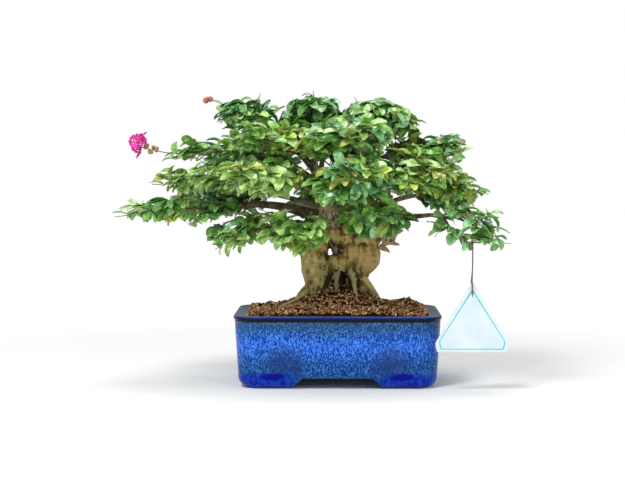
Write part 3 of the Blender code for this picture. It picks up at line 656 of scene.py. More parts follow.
def soil_level(x, y):
    mound = sum(rise * math.exp(-(x / wide) ** 2 - (y / deep) ** 2)
                for rise, wide, deep in (SOIL_SWELL, SOIL_MOUND))
    hx, hy, rise, size = SOIL_HEAP
    heap = rise * math.exp(-((x - hx) / size) ** 2 - ((y - hy) / (size * 1.6)) ** 2)
    lump = SOIL_LUMP * noise.noise(Vector((x, y, 3.0)) / 9.0)
    return POT_HEIGHT - SOIL_EDGE_DROP + mound + heap + lump


def inside_rim(x, y, slack):
    """True where the spot lies inside the rounded opening of the pot."""
    half_x = POT_LENGTH / 2 - RIM_WIDTH - slack
    half_y = POT_DEPTH / 2 - RIM_WIDTH - slack
    corner = POT_CORNER - RIM_WIDTH * 0.9 - slack
    dx = max(abs(x) - (half_x - corner), 0.0)
    dy = max(abs(y) - (half_y - corner), 0.0)
    return dx * dx + dy * dy <= corner * corner


def make_grains():
    """Loose baked-clay grains of four colours, darker near the trunk."""
    rng = random.Random(21)
    bundles = {kind: Bundle() for kind in GRAINS}
    points, faces = ball(1)
    made = 0
    while made < GRAIN_COUNT:
        x = rng.uniform(-110, 110)
        y = rng.uniform(-79, 79)
        size = rng.uniform(*GRAIN_SIZE) * (1.25 if rng.random() < 0.12 else 1.0)
        if not inside_rim(x, y, size * 0.5):
            continue
        made += 1
        near_trunk = math.exp(-(x / 60) ** 2 - (y / 42) ** 2)
        kind = rng.choices(list(GRAINS), [share for _, share in GRAINS.values()])[0]
        if rng.random() < near_trunk * 0.4:
            kind = "dark"
        middle = Vector((x, y, soil_level(x, y) + rng.uniform(-0.5, 1.1) * size))
        turn = Matrix.Rotation(rng.uniform(0, 6.28), 3, scatter(rng, (0, 1), (0, 1), (0, 1)))
        shape = scatter(rng, (0.8, 1.25), (0.7, 1.1), (0.6, 0.9)) * size
        bundles[kind].solid([middle + turn @ (p * shape * rng.uniform(0.85, 1.15)) for p in points], faces)
    return bundles


def make_soil():
    """A dark bed that follows the heaped soil, under the loose grains."""
    gap = 0.4
    rings = [pot_ring(FOOT_HEIGHT + FLOOR_THICK + gap, inner_inset(17.0) + gap),
             pot_ring(BED_EDGE_Z, inner_inset(BED_EDGE_Z) + gap)]
    for share in (0.99, 0.92, 0.84, 0.76, 0.68, 0.6, 0.52, 0.44, 0.36, 0.28, 0.2, 0.12, 0.05):
        spots = [(x * share, y * share) for x, y, _ in rings[1]]
        rings.append([(x, y, soil_level(x, y) - 0.6) for x, y in spots])
    bed_finish = grain_finish("soil_bed", (0.045, 0.022, 0.012))
    add_piece("soil_bed", mesh_from_form("soil_bed", loft(rings)), [bed_finish], "plant", "soil", ["soil"])
    for kind, bundle in make_grains().items():
        finish = grain_finish("grain_" + kind, GRAINS[kind][0])
        add_piece("soil_grains_" + kind, bundle.mesh("grains"), [finish], "plant", "soil", smooth=False)


# ---------- trunk

# Knots, dead spurs, a thin root and cut stubs that stand on the trunk, as runs of x, y, z and radius.
BARK_GROWTH = [
    [(8, -16, 186, 5), (16, -20, 192, 5.5), (24, -18, 190, 4.5)],
    [(-30, -14, 186, 5), (-26, -16, 192, 5.5), (-18, -15, 200, 4)],
    [(30, -14, 196, 4), (38, -20, 203, 3), (43, -23, 211, 1.6)],
    [(14, -14, 200, 4), (12, -21, 208, 2.8), (7, -25, 215, 1.5)],
    [(22, -18, 172, 5), (30, -21, 176, 4.5), (38, -19, 172, 4)],
    [(54, -12, 174, 5), (66, -16, 179, 3.4), (74, -17, 183, 2.5), (81, -18, 186, 1.8)],
    [(70, -17, 182, 2.6), (75, -19, 188, 1.9), (77, -20, 193, 1.2)],
    [(56, -12, 172, 4.5), (66, -16, 170, 2.9), (76, -18, 168, 1.9)],
    [(52, -12, 166, 4), (60, -18, 162, 2.4), (65, -20, 158, 1.4)],
    [(-36, -10, 112, 4), (-47, -22, 104, 2.8), (-56, -30, 99, 2.0), (-70, -36, 94, 1.4)],
]


def ease_over_edges(values, edges, links, rounds):
    """Average each vertex's value with its neighbours', so many times over."""
    for _ in range(rounds):
        total = np.zeros_like(values)
        np.add.at(total, edges[:, 0], values[edges[:, 1]])
        np.add.at(total, edges[:, 1], values[edges[:, 0]])
        values = total / links
    return values


def trunk_form(source):
    """The solid trunk and its growths, melted into one fine skin."""
    weld = bmesh.new()
    weld.from_mesh(source)
    bmesh.ops.remove_doubles(weld, verts=weld.verts, dist=1e-5)
    bmesh.ops.recalc_face_normals(weld, faces=weld.faces)
    growth = Bundle()
    for run in BARK_GROWTH:
        path = smooth_path([spot[:3] for spot in run], 4)
        radii = [r.x for r in smooth_path([(spot[3], 0, 0) for spot in run], 4)]
        growth.tube(path, radii, 12)
    weld.from_mesh(growth.mesh("bark_growth"))
    trunk = link_new("bark_trunk", bpy.data.meshes.new("bark_trunk"))
    weld.to_mesh(trunk.data)
    weld.free()
    skin = trunk.modifiers.new("skin", "REMESH")
    skin.mode = "VOXEL"
    skin.voxel_size = BARK_FINENESS * MM
    ease = trunk.modifiers.new("ease", "SMOOTH")
    ease.factor = 0.5
    ease.iterations = 9
    bake_modifiers(trunk)
    return trunk


def ripple(spot, wide, tall, shift=(0, 0, 0)):
    return noise.noise(Vector((spot.x / wide, spot.y / wide, spot.z / tall)) + Vector(shift))


def ramp(value):
    return max(0.0, min(1.0, value))


def bark_lift(spot):
    """How far the bark stands out at a spot: swells all over, furrows on the neck and among the roots."""
    swell = ripple(spot, 10, 17, (5, 2, 9))
    flute = ripple(spot, 4.5, 20)
    wrinkle = ripple(spot, 2.6, 2.6, (1, 7, 3))
    furrow = abs(ripple(spot, 7, 10, (3, 1, 4)))
    neck = ramp((spot.z - 165) / 25) * ramp((235 - spot.z) / 30)
    rooty = ramp((140 - spot.z) / 20) * ramp(1.0 - abs(spot.x - 4) / 30)
    return (0.8 * swell + 0.55 * flute + 0.3 * wrinkle + neck * (3.4 * furrow - 0.9)
            + rooty * (2.6 * furrow - 0.8 + 0.9 * flute))


def read_rows(source, name, width, kind):
    rows = np.empty(len(source) * width, kind)
    source.foreach_get(name, rows)
    return rows.reshape(-1, width)


def make_trunk(bark):
    """The trunk's own form, made finer, with knots, furrows and wrinkles in the bark."""
    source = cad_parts["trunk"].data
    trunk = trunk_form(source)
    mesh = trunk.data
    spots = read_rows(mesh.vertices, "co", 3, np.float32)
    normals = read_rows(mesh.vertex_normals, "vector", 3, np.float32)
    lifts = np.array([bark_lift((Vector(at) - POT_MIDDLE) / MM) for at in spots])
    spots += (normals * lifts[:, None] * MM).astype(np.float32)
    mesh.vertices.foreach_set("co", spots.ravel())
    mesh.update()
    edges = read_rows(mesh.edges, "vertices", 2, np.int32)
    links = np.bincount(edges.ravel(), minlength=len(spots))[:, None]
    depth = np.zeros(len(spots))
    for rounds, weight in CREASE_PASSES:
        eased = ease_over_edges(spots.astype(float), edges, links, rounds)
        depth += weight * np.einsum("ij,ij->i", eased - spots, normals) / MM
    # How deep each spot lies in a crease; from this the bark paints shade in deep creases and a highlight on
    # its ridges.
    creases = np.clip(0.35 + depth, 0.0, 1.0).astype(np.float32)
    layer = mesh.attributes.new("crease", "FLOAT", "POINT")
    layer.data.foreach_set("value", creases)
    dress(trunk, [bark], "plant", "trunk", ["trunk"])
    return BVHTree.FromPolygons([(v.co - POT_MIDDLE) / MM for v in source.vertices],
                                [list(f.vertices) for f in source.polygons])


# ---------- masses of foliage

def measured(step, radii):
    """Length of a step when an ellipsoid's radii are the unit."""
    return Vector([step[i] / radii[i] for i in range(3)]).length


class Mass:
    """One mass: an ellipsoid of space on a bough that springs from a fork on the trunk."""

    def __init__(self, name, fork, centre, radii, tip, girth, twigs=20, via=(), arch=8.0,
                 through=(), arm=(), bare=0.0, tints=None):
        self.name = name
        self.fork = Vector(fork)
        self.centre = Vector(centre)
        self.radii = Vector(radii)
        self.tip = Vector(tip)
        self.girth = girth
        self.twigs = twigs
        self.via = [Vector(v) for v in via]
        self.arch = arch
        self.through = [Vector(v) for v in through]
        self.arm = [Vector(v) for v in arm]
        self.bare = bare
        self.tints = tints or TINTS
        self.planes = []

    def bough_path(self):
        start = self.fork
        back = (self.via[-1] if self.via else start) - self.centre
        end = self.centre + back * min(0.9 / measured(back, self.radii), 0.8)
        if self.via:
            return smooth_path([start, *self.via, end], 5)
        middle = (start + end) / 2 + UP * self.arch
        return smooth_path([start, middle, end], 6)

    def holds(self, point, slack=1.0):
        if measured(point - self.centre, self.radii) > slack:
            return False
        return all(point.dot(normal) < limit - CELL_MARGIN for normal, limit in self.planes)


def share_space(masses):
    """Give each pair of masses the plane between them, placed by their sizes along it."""
    for one, other in permutations(masses, 2):
        apart = other.centre - one.centre
        normal = Vector([apart[i] / (one.radii[i] ** 2 + other.radii[i] ** 2) for i in range(3)])
        normal.normalize()
        own = (one.radii * normal).length
        their = (other.radii * normal).length
        spot = one.centre + apart * own / (own + their)
        one.planes.append((normal, spot.dot(normal)))


TINTS = {"mid": 0.35, "deep": 0.26, "bluish": 0.17, "fresh": 0.13, "olive": 0.06, "lime": 0.02,
         "yellow": 0.004}
FRESH = {"fresh": 0.60, "mid": 0.26, "lime": 0.07, "olive": 0.07}
LIGHT = {"fresh": 0.36, "mid": 0.40, "deep": 0.12, "bluish": 0.05, "lime": 0.04, "olive": 0.02,
         "yellow": 0.004}
SHADY = {"deep": 0.5, "mid": 0.25, "bluish": 0.15, "olive": 0.1}


# The masses, from the low left round to the back, with the sizes that the solids have. Each has its
# fork on the trunk, its middle, its radii, its tip, its girth at both ends and how many twigs it has.
CROWN = [
    Mass("left_low", (-30, -3, 200), (-196, -18, 210), (80, 42, 19), (-273, -20, 202), (5.0, 2.6), 17,
         via=[(-60, -6, 211), (-92, -9, 216)], bare=0.06, tints=LIGHT),
    Mass("left_mid", (-24, -6, 216), (-160, -28, 249), (62, 44, 21), (-226, -26, 242), (4.0, 2.1), 15,
         via=[(-62, -18, 226)], bare=0.06, tints=FRESH),
    Mass("flower_shoot", (-27, -2, 246), (-148, -24, 284), (80, 30, 17), (-241, -24, 288), (3.6, 1.9), 14,
         via=[(-60, -14, 268)], bare=0.22, tints=LIGHT,
         through=[(-125, -24, 282), (-165, -24, 280), (-205, -24, 280)]),
    Mass("upper_left", (-29, 0, 266), (-98, -6, 326), (52, 48, 23), (-155, -8, 345), (3.6, 1.9), 18),
    Mass("top", (-30, 2, 276), (-32, -10, 320), (54, 56, 28), (-30, -8, 356), (3.6, 2.2), 26, arch=0),
    Mass("top_right", (42, 4, 278), (42, -10, 316), (58, 58, 28), (90, -10, 318), (3.6, 2.2), 30, arch=0,
         through=[(16, -9, 322), (46, -10, 328)]),
    Mass("right_shoulder", (36, 4, 258), (106, 6, 285), (46, 54, 30), (150, 6, 280), (3.8, 2.0), arch=10),
    Mass("right_end", (50, 0, 206), (136, 12, 237), (43, 50, 29), (172, 12, 232), (4.6, 2.2), 18,
         via=[(72, 6, 222)]),
    Mass("right_droop", (52, -10, 206), (154, -92, 195), (52, 30, 26), (202, -110, 174), (5.0, 2.0), 6,
         via=[(60, -20, 205), (74, -32, 207), (92, -48, 204), (112, -68, 206)],
         through=[(136, -92, 186), (146, -100, 178), (158, -105, 175), (180, -108, 176)],
         arm=[(130, -84, 209), (146, -92, 208), (162, -96, 205), (178, -100, 193), (188, -104, 179)]),
    Mass("front_left", (-26, -3, 232), (-88, -78, 256), (50, 46, 32), (-126, -104, 256), (3.6, 2.0), 22,
         tints=FRESH),
    Mass("front_middle", (4, -14, 208), (14, -88, 249), (56, 48, 36), (30, -126, 246), (4.0, 2.2), 27,
         arch=12),
    Mass("front_low_right", (34, -14, 196), (44, -62, 205), (44, 34, 27), (70, -84, 202), (3.0, 1.8), 22,
         arch=4),
    Mass("front_low_left", (-28, -12, 186), (-54, -50, 196), (44, 36, 38), (-76, -72, 176), (2.8, 1.8),
         arch=6, tints=LIGHT),
    Mass("left_hang", (-36, -6, 190), (-120, -20, 184), (38, 36, 26), (-150, -24, 162), (3.2, 1.8), 15,
         via=[(-62, -8, 192)], tints=LIGHT),
    Mass("front_top", (-6, -6, 218), (8, -78, 299), (66, 50, 36), (14, -120, 294), (3.8, 2.0), 22,
         via=[(-8, -30, 244), (-4, -44, 272)]),
    Mass("front_upper_left", (-29, -1, 256), (-84, -62, 300), (50, 44, 26), (-120, -84, 296), (3.2, 1.9), 19,
         tints=LIGHT),
    Mass("front_right", (30, -6, 228), (92, -72, 268), (52, 48, 38), (128, -96, 256), (3.8, 2.1), arch=12),
    Mass("back_left", (-24, 8, 230), (-108, 80, 262), (64, 58, 36), (-156, 106, 260), (4.2, 2.2), arch=10),
    Mass("back_right", (30, 10, 232), (90, 84, 262), (60, 56, 36), (130, 110, 258), (4.2, 2.2), arch=10),
    Mass("back_top", (-22, 7, 250), (-10, 74, 306), (64, 54, 30), (-8, 116, 306), (3.8, 2.1)),
    Mass("back_low", (8, 14, 210), (-16, 94, 222), (72, 50, 29), (-16, 138, 218), (4.2, 2.2), tints=SHADY),
    Mass("left_back_low", (-22, 8, 206), (-154, 46, 222), (62, 46, 24), (-206, 62, 216), (4.0, 2.1), 16,
         via=[(-70, 26, 216)], tints=SHADY),
]


# ---------- leaves

LEAF_LOOKS = {
    "mid": ((0.230, 0.500, 0.090),),
    "deep": ((0.120, 0.330, 0.065),),
    "bluish": ((0.210, 0.470, 0.190), 0.26),
    "fresh": ((0.430, 0.680, 0.200),),
    "olive": ((0.370, 0.440, 0.080),),
    "lime": ((0.600, 0.800, 0.100),),
    "yellow": ((0.640, 0.560, 0.060),),
}


class LeafStore:
    """Holds each leaf's root, direction and size by tint, and makes one mesh of each tint."""

    STATIONS = 7
    COLUMNS = (-1.0, -0.86, -0.06, 0.06, 0.86, 1.0)

    def __init__(self):
        self.rows = {}

    def add(self, tint, root, ahead, up, length, width, curl, fold):
        self.rows.setdefault(tint, []).append((*root, *ahead, *up, length, width, curl, fold))

    def mesh(self, tint):
        data = np.array(self.rows[tint])
        root, ahead, hint = (data[:, None, i:i + 3] for i in (0, 3, 6))
        ahead = ahead / np.linalg.norm(ahead, axis=2, keepdims=True)
        across = np.cross(ahead, hint)
        across /= np.linalg.norm(across, axis=2, keepdims=True)
        up = np.cross(across, ahead)
        length, width, curl, fold = (data[:, i, None] for i in range(9, 13))
        share = (1 - np.cos(np.pi * np.linspace(0.0, 1.0, self.STATIONS))) / 2
        bend = (curl * share)[..., None]
        along = (length / curl)[..., None] * np.sin(bend)
        drop = (length / curl)[..., None] * (1 - np.cos(bend))
        spine = root + ahead * along - up * drop
        normal = (ahead * np.sin(bend) + up * np.cos(bend))[:, :, None]
        half = width / 2 * (1 - np.abs(2 * share ** 0.88 - 1) ** 2.1) ** 0.66 + 0.2
        side = (half[..., None] * np.array(self.COLUMNS))[..., None]
        lift = fold[..., None, None] * np.abs(side)
        top = spine[:, :, None] + across[:, :, None] * side + normal * lift
        under = top - normal * LEAF_THICK
        count = len(data)
        rows, cols = self.STATIONS, len(self.COLUMNS)
        per_top = rows * cols
        grid = np.arange(per_top).reshape(rows, cols)
        inner = np.zeros((rows, cols), bool)
        inner[1:-1, 1:-1] = True
        under_grid = grid.copy()
        under_grid[inner] = per_top + np.arange(inner.sum())
        points = np.concatenate([top.reshape(count, per_top, 3), under[:, inner, :]], axis=1)
        quads = []
        slots = []
        for i in range(rows - 1):
            for j in range(cols - 1):
                quads.append((grid[i, j], grid[i, j + 1], grid[i + 1, j + 1], grid[i + 1, j]))
                # Slot 1 is the pale midrib strip; slot 3, on the two outer strips, carries a painted
                # highlight along the leaf's edges.
                slots.append(1 if j == cols // 2 - 1 else 3 if j in (0, cols - 2) else 0)
                if inner[i:i + 2, j:j + 2].any():
                    quads.append((under_grid[i, j], under_grid[i + 1, j],
                                  under_grid[i + 1, j + 1], under_grid[i, j + 1]))
                    slots.append(2)
        per_leaf = points.shape[1]
        faces = (np.array(quads)[None, :, :] + (np.arange(count) * per_leaf)[:, None, None]).reshape(-1, 4)
        return mesh_of("leaves_" + tint, points.reshape(-1, 3), faces, np.tile(slots, count))


def taper(count, thick, thin, power=1.0):
    return [thick + (thin - thick) * (i / (count - 1)) ** power for i in range(count)]


def level_side(ahead, otherwise):
    """The level direction square to a course, or another where the course is upright."""
    side = ahead.cross(UP)
    return (otherwise if side.length < 0.2 else side).normalized()


class Grower:
    """Grows one mass by the same rule as its solid, on to finer twigs and true-sized leaves."""

    def __init__(self, mass, rng, wood, shoots, leaves, trunk_tree):
        self.mass = mass
        self.rng = rng
        self.wood = wood
        self.shoots = shoots
        self.leaves = leaves
        self.trunk_tree = trunk_tree

    def inside(self, point, slack=SPACE_SLACK):
        in_box = all(CAD_LOW[i] + 0.5 < point[i] < CAD_HIGH[i] - 0.5 for i in range(3))
        return in_box and self.mass.holds(point, slack)

    def meets_trunk(self, root, aim, length):
        return self.trunk_tree.ray_cast(root, aim, length)[0] is not None

    def tint(self):
        return self.rng.choices(list(self.mass.tints), list(self.mass.tints.values()))[0]

    def grow(self):
        """The stem beyond the bough, then a second arm where there is one, then the side twigs."""
        mass = self.mass
        rng = self.rng
        path = mass.bough_path()
        start = path[-1]
        thin = mass.girth[1]
        ahead = (start - path[-2]).normalized()
        middle = (start + mass.tip) / 2 + Vector((0, *scatter(rng, (-6, 6), (1, 5))))
        stem = smooth_path([start, start + ahead * 4, *(mass.through or [middle]), mass.tip], 4)
        sway = 0.0 if mass.through else 0.8
        for i in range(2, len(stem) - 1):
            stem[i] += scatter(rng, (-1, 1), (-1, 1), (-1, 1)) * sway
        if not mass.through:
            for i in range(len(path) // 2, len(path) - 1):
                for hand in HANDS:
                    self.side_twig(path, i, thin, hand, self.tint())
        count = len(stem)
        radii = taper(count, thin, STEM_TIP_RADIUS, 0.8)
        self.stem(stem, radii, count - round(mass.bare * count))
        if mass.arm:
            arm = smooth_path([start, *mass.arm], 4)
            self.stem(arm, taper(len(arm), ARM_RADIUS, STEM_TIP_RADIUS), len(arm))
            for k, i in enumerate(range(3, len(arm) - 4, 4)):
                self.side_twig(arm, i, 1.2, -HANDS[k % 2], self.tint())
        for k in range(mass.twigs):
            share = 0.03 + (0.93 - mass.bare) * (k + rng.uniform(0.2, 0.8)) / mass.twigs
            i = max(1, min(count - 2, round(share * (count - 1))))
            self.side_twig(stem, i, radii[i], HANDS[k % 2], self.tint())
        return stem

    def stem(self, path, radii, leafy):
        self.wood.tube(path, radii, 6)
        self.spray(path[:leafy], self.tint(), STEM_SLACK)

    def side_twig(self, parent, i, girth, hand, tint, order=1):
        """A twig from one point of its parent, cut short until it fits, with twigs of its own."""
        rng = self.rng
        root = parent[i]
        ahead = (parent[min(i + 1, len(parent) - 1)] - parent[i - 1]).normalized()
        side = level_side(ahead, ahead.cross(Vector((0, 1, 0)))) * hand
        roll = rng.uniform(-TWIG_ROLL, TWIG_ROLL * 1.1)
        out = side * math.cos(roll) + side.cross(ahead).normalized() * math.sin(roll) * hand
        aim = (ahead * rng.uniform(0.4, 1.0) + out).normalized()
        length = rng.uniform(0.7, 1.05) / measured(aim, self.mass.radii)
        length = min(length, LONGEST_TWIG) if order == 1 else min(length * 0.5, rng.uniform(16, 30))
        for shrink in (1.0, 0.8, 0.6, 0.42):
            reach = length * shrink
            bow = scatter(rng, (-0.08, 0.08), (-0.08, 0.08), (-0.02, 0.1))
            end = root + aim * reach + UP * rng.uniform(-0.12, 0.06) * reach
            if self.inside(end, 0.98) and reach > SHORTEST_TWIG:
                break
        else:
            return
        middle = root + aim * reach * 0.5 + bow * reach
        path = smooth_path([root, middle, end], 3)
        if any(self.meets_trunk(a, (b - a).normalized(), (b - a).length) for a, b in zip(path, path[1:])):
            return
        thick = min(girth * 0.75, 1.15 if order == 1 else 0.75)
        store = self.shoots if order == 2 or rng.random() < 0.3 else self.wood
        store.tube(path, taper(len(path), thick, TWIG_TIP_RADIUS), 4)
        self.spray(path, tint)
        if order == 1:
            for k, at in enumerate(range(2, len(path) - 1)):
                if rng.random() < 0.62:
                    self.side_twig(path, at, thick * 0.7, HANDS[k % 2], tint, order=2)

    def spray(self, path, tint, slack=SPACE_SLACK):
        """Leaves in pairs along a twig, and one at its tip."""
        rng = self.rng
        gone = rng.uniform(2.0, 7.0)
        quarter = rng.uniform(-LEAF_ROLL, LEAF_ROLL) * 0.5
        for k, (a, b) in enumerate(zip(path, path[1:])):
            step = b - a
            ahead = step.normalized()
            size = 1.0 - YOUNG_LEAF_CUT * (k / len(path)) ** 2
            while gone < step.length:
                root = a + ahead * gone
                for hand in HANDS:
                    if rng.random() < 0.9:
                        self.leaf(root + ahead * hand * 0.9, ahead, hand, quarter, tint, size, slack)
                quarter = -quarter + rng.uniform(-0.35, 0.35)
                gone += LEAF_PITCH * rng.uniform(0.75, 1.3)
            gone -= step.length
        self.leaf(path[-1], (path[-1] - path[-2]).normalized(), 0, 0.0, tint, TIP_LEAF_SHARE, slack)

    def leaf(self, root, ahead, hand, quarter, tint, share, slack):
        """One leaf, turned up to three ways until it stays in its space and clear of the trunk."""
        rng = self.rng
        side = level_side(ahead, Vector((0, 1, 0)))
        lift = side.cross(ahead).normalized()
        for _ in range(3):
            roll = quarter + rng.uniform(-0.3, 0.3)
            flank = side * math.cos(roll) + lift * math.sin(roll)
            aim = ahead * rng.uniform(0.35, 1.0) + flank * hand * rng.uniform(0.7, 1.1)
            aim.z += rng.uniform(-0.15, 0.45)
            if aim.length < 0.1:
                continue
            aim.normalize()
            out = Vector((root.x, root.y, 0)).normalized() * rng.uniform(0.0, 0.8)
            up = scatter(rng, (-0.45, 0.45), (-0.45, 0.45)).to_3d() + UP + out
            size = share * rng.uniform(0.72, 1.15)
            length = LEAF_LENGTH * size
            curl = rng.uniform(0.5, 1.45)
            tip = root + aim * length * 0.9 - up.normalized() * length * curl * 0.35
            fits = self.inside(tip, slack) and self.inside(root + aim * length * 0.5, slack)
            if fits and not self.meets_trunk(root, aim, length):
                width = LEAF_WIDTH * size * rng.uniform(0.88, 1.12)
                self.leaves.add(tint, root, aim, up, length, width, curl, rng.uniform(0.12, 0.5))
                return


# ---------- blossom, capsules and buds

def petal_points(root, aim, up, size, rng):
    """A clawed, crinkled petal: a narrow stalk that opens into a ruffled fan."""
    across = aim.cross(up).normalized()
    up = across.cross(aim)
    rows = [(0.0, 0.05), (0.3, 0.06), (0.45, 0.3), (0.7, 0.5), (0.92, 0.42), (1.0, 0.25)]
    spread = (-1.0, -0.5, 0.0, 0.5, 1.0)
    points = []
    phase = rng.uniform(0, 6)
    for share, half in rows:
        for s in spread:
            ruffle = math.sin(phase + s * 5.0 + share * 6.0) * 0.13 * share
            edge = 1.0 - 0.25 * abs(s) ** 2 * share
            points.append(root + aim * size * share * edge + across * size * half * s + up * size * ruffle)
    faces = []
    wide = len(spread)
    for i in range(len(rows) - 1):
        for j in range(wide - 1):
            faces.append((i * wide + j, i * wide + j + 1, (i + 1) * wide + j + 1, (i + 1) * wide + j))
    return points, faces


def around(axis, count, shift=0.0, stray=None):
    """Turns about an axis, evenly spread, each a little astray where a span is given."""
    for k in range(count):
        angle = 360 / count * k + shift + (stray() if stray else 0.0)
        yield Matrix.Rotation(math.radians(angle), 3, axis)


def make_flower(petals, stalks, middle, rng):
    """One flower: six ruffled petals, and stamens between them."""
    tilt = scatter(rng, (-1, 0.3), (-1, 0.4), (-0.4, 1)).normalized()
    flat = tilt.cross(Vector((0.3, 0.2, 1))).normalized()
    for turn in around(tilt, 6, stray=lambda: rng.uniform(-12, 12)):
        aim = (turn @ flat + tilt * rng.uniform(0.1, 0.6)).normalized()
        petals.solid(*petal_points(middle, aim, tilt, rng.uniform(7.2, 9.6), rng))
    for turn in around(tilt, 6, 30):
        aim = (turn @ flat * 0.35 + tilt).normalized()
        stalks.tube([middle, middle + aim * 3.2], [0.16, 0.22], 4)


def make_blossom(tip, before):
    """A small head of magenta blossom with seed capsules behind it."""
    rng = random.Random(5)
    petals, stalks, capsules = Bundle(), Bundle(), Bundle()
    ball_points, ball_faces = ball(2)
    ahead = (tip - before).normalized()
    for head in FLOWER_HEADS:
        middle = tip + Vector(head)
        stalks.tube([tip - ahead * 2, (tip + middle) / 2 - UP, middle], [0.5, 0.4, 0.45], 5)
        make_flower(petals, stalks, middle, rng)
    for k in range(CAPSULE_COUNT):
        along = 6.0 + 2.0 * k
        aim = scatter(rng, (-0.4, 0.4), (-1, 1), (-0.6, 1)).normalized()
        middle = tip - ahead * along + aim * 4.2
        size = rng.uniform(2.2, 3.4)
        stalks.tube([tip - ahead * (along + 1), middle], [0.5, 0.45], 5)
        capsules.solid([middle + p * Vector((1, 1, 1.08)) * size for p in ball_points], ball_faces)
        for turn in around(aim, 5):
            flat = turn @ aim.cross(Vector((0.2, 0.3, 1))).normalized()
            sepal = [middle - aim * size * 0.6 + flat * size * 0.7,
                     middle + aim * size * 0.4 + flat * size * 1.15]
            stalks.tube(sepal, [0.5, 0.1], 4)
    return petals, stalks, capsules


def make_buds(tip):
    buds = Bundle()
    ball_points, ball_faces = ball(2)
    for shift, size in FLOWER_BUDS:
        middle = tip + Vector(shift)
        buds.solid([middle + p * size for p in ball_points], ball_faces)
    return buds


# ---------- tag

def drawn_in(point, middle, inset):
    return point + (middle - point).normalized() * inset


def tag_outline():
    """The card's triangle with its corners cut and rounded, about the hole."""
    right = [(TAG_HALF_SHOULDER, -TAG_SHOULDER_DOWN, 3.0), (TAG_HALF_BOTTOM, -TAG_BOTTOM_DOWN, 2.0)]
    left = [(-u, v, ease) for u, v, ease in reversed(right)]
    corners = [(0, TAG_APEX_UP + 0.4, 3.0), *right, *left]
    outline = []
    for k, (u, v, ease) in enumerate(corners):
        here = Vector((u, v))
        a = drawn_in(here, Vector(corners[k - 1][:2]), ease)
        b = drawn_in(here, Vector(corners[(k + 1) % len(corners)][:2]), ease)
        for step in range(6):
            t = step / 5
            outline.append(a * (1 - t) ** 2 + here * 2 * t * (1 - t) + b * t * t)
    return outline


def make_tag(card):
    """A blank hanging card with softened edges and a hole."""
    x, y = TAG_PLACE
    middle = Vector((0, -30))
    rings = []
    for depth, inset in ((-0.5, 0.25), (-0.3, 0.0), (0.3, 0.0), (0.5, 0.25)):
        ring = [drawn_in(p, middle, inset) for p in tag_outline()]
        rings.append([(x + p.x, y - depth * TAG_THICK, TAG_HOLE_Z + p.y) for p in ring])
    tag = link_new("hanging_tag", mesh_from_form("hanging_tag", loft(rings)))
    spot = Matrix.Translation((x, y, TAG_HOLE_Z)) @ Matrix.Rotation(math.pi / 2, 4, "X")
    carve(tag, drill(TAG_HOLE_RADIUS, 6.0, 32, spot))
    dress(tag, [card], "tag", "tag", ["tag"], smooth=False)


def make_tag_border(ink):
    """A plain printed line just inside the card's edge."""
    x, y = TAG_PLACE
    outline = tag_outline()
    centre = Vector((0, -34))
    points = []
    for inset in (5.0, 6.6):
        for p in outline:
            inner = drawn_in(p, centre, inset * (1.0 + 0.9 * max(0.0, p.y / TAG_APEX_UP)))
            points.append((x + inner.x, y - TAG_THICK / 2 - 0.06, TAG_HOLE_Z + inner.y))
    count = len(outline)
    faces = [(k, (k + 1) % count, count + (k + 1) % count, count + k) for k in range(count)]
    piece = add_piece("tag_border", mesh_of("tag_border", points, faces), [ink], "tag", "tag", smooth=False)
    thick = piece.modifiers.new("thick", "SOLIDIFY")
    thick.thickness = 0.05 * MM
    thick.offset = 1.0


def make_tie(wire):
    """Covered wire over the twig, down through the tag's hole and back up, with a twisted end."""
    strand = [
        (0.4, 3.1, TIE_TOP_Z + 1.5), (0.4, 0, TIE_TOP_Z + 3.6), (0.2, -3.1, TIE_TOP_Z + 1.0),
        (0, -2.2, TIE_TOP_Z - 5), (0, -1.0, 150), (-0.4, -1.4, 132), (-0.3, -2.4, 122),
        (0, -1.8, TAG_HOLE_Z + 0.6), (0, 0, TAG_HOLE_Z - 0.4), (0, 2.0, TAG_HOLE_Z + 1.6),
        (-1.4, 2.2, 124), (-0.6, 1.0, 136), (0.3, 0.4, 150), (0.2, 1.6, TIE_TOP_Z - 6),
        (-1.2, 2.8, TIE_TOP_Z - 1), (-3.4, -1.0, TIE_TOP_Z - 2), (-4.6, -1.6, TIE_TOP_Z - 9),
    ]
    tie = Bundle()
    path = smooth_path([Vector(spot) + Vector((*TAG_PLACE, 0)) for spot in strand], 6)
    tie.tube(path, [TIE_RADIUS] * len(path), 8)
    add_piece("covered_wire_tie", tie.mesh("tie"), [wire], "plant", "tag_tie", ["tag_tie"])


# ---------- putting the plant together

def make_bough(number, mass, bark):
    path = mass.bough_path()
    radii = [radius * (1 + 0.14 * noise.noise(spot / 6.0 + Vector((number, 0, 0))))
             for spot, radius in zip(path, taper(len(path), *mass.girth, 0.8))]
    limb = Bundle()
    limb.tube(path, radii, 12)
    solid = "bough_" + mass.name
    add_piece("bark_" + solid, limb.mesh("bough"), [bark], "plant", "boughs", [solid])


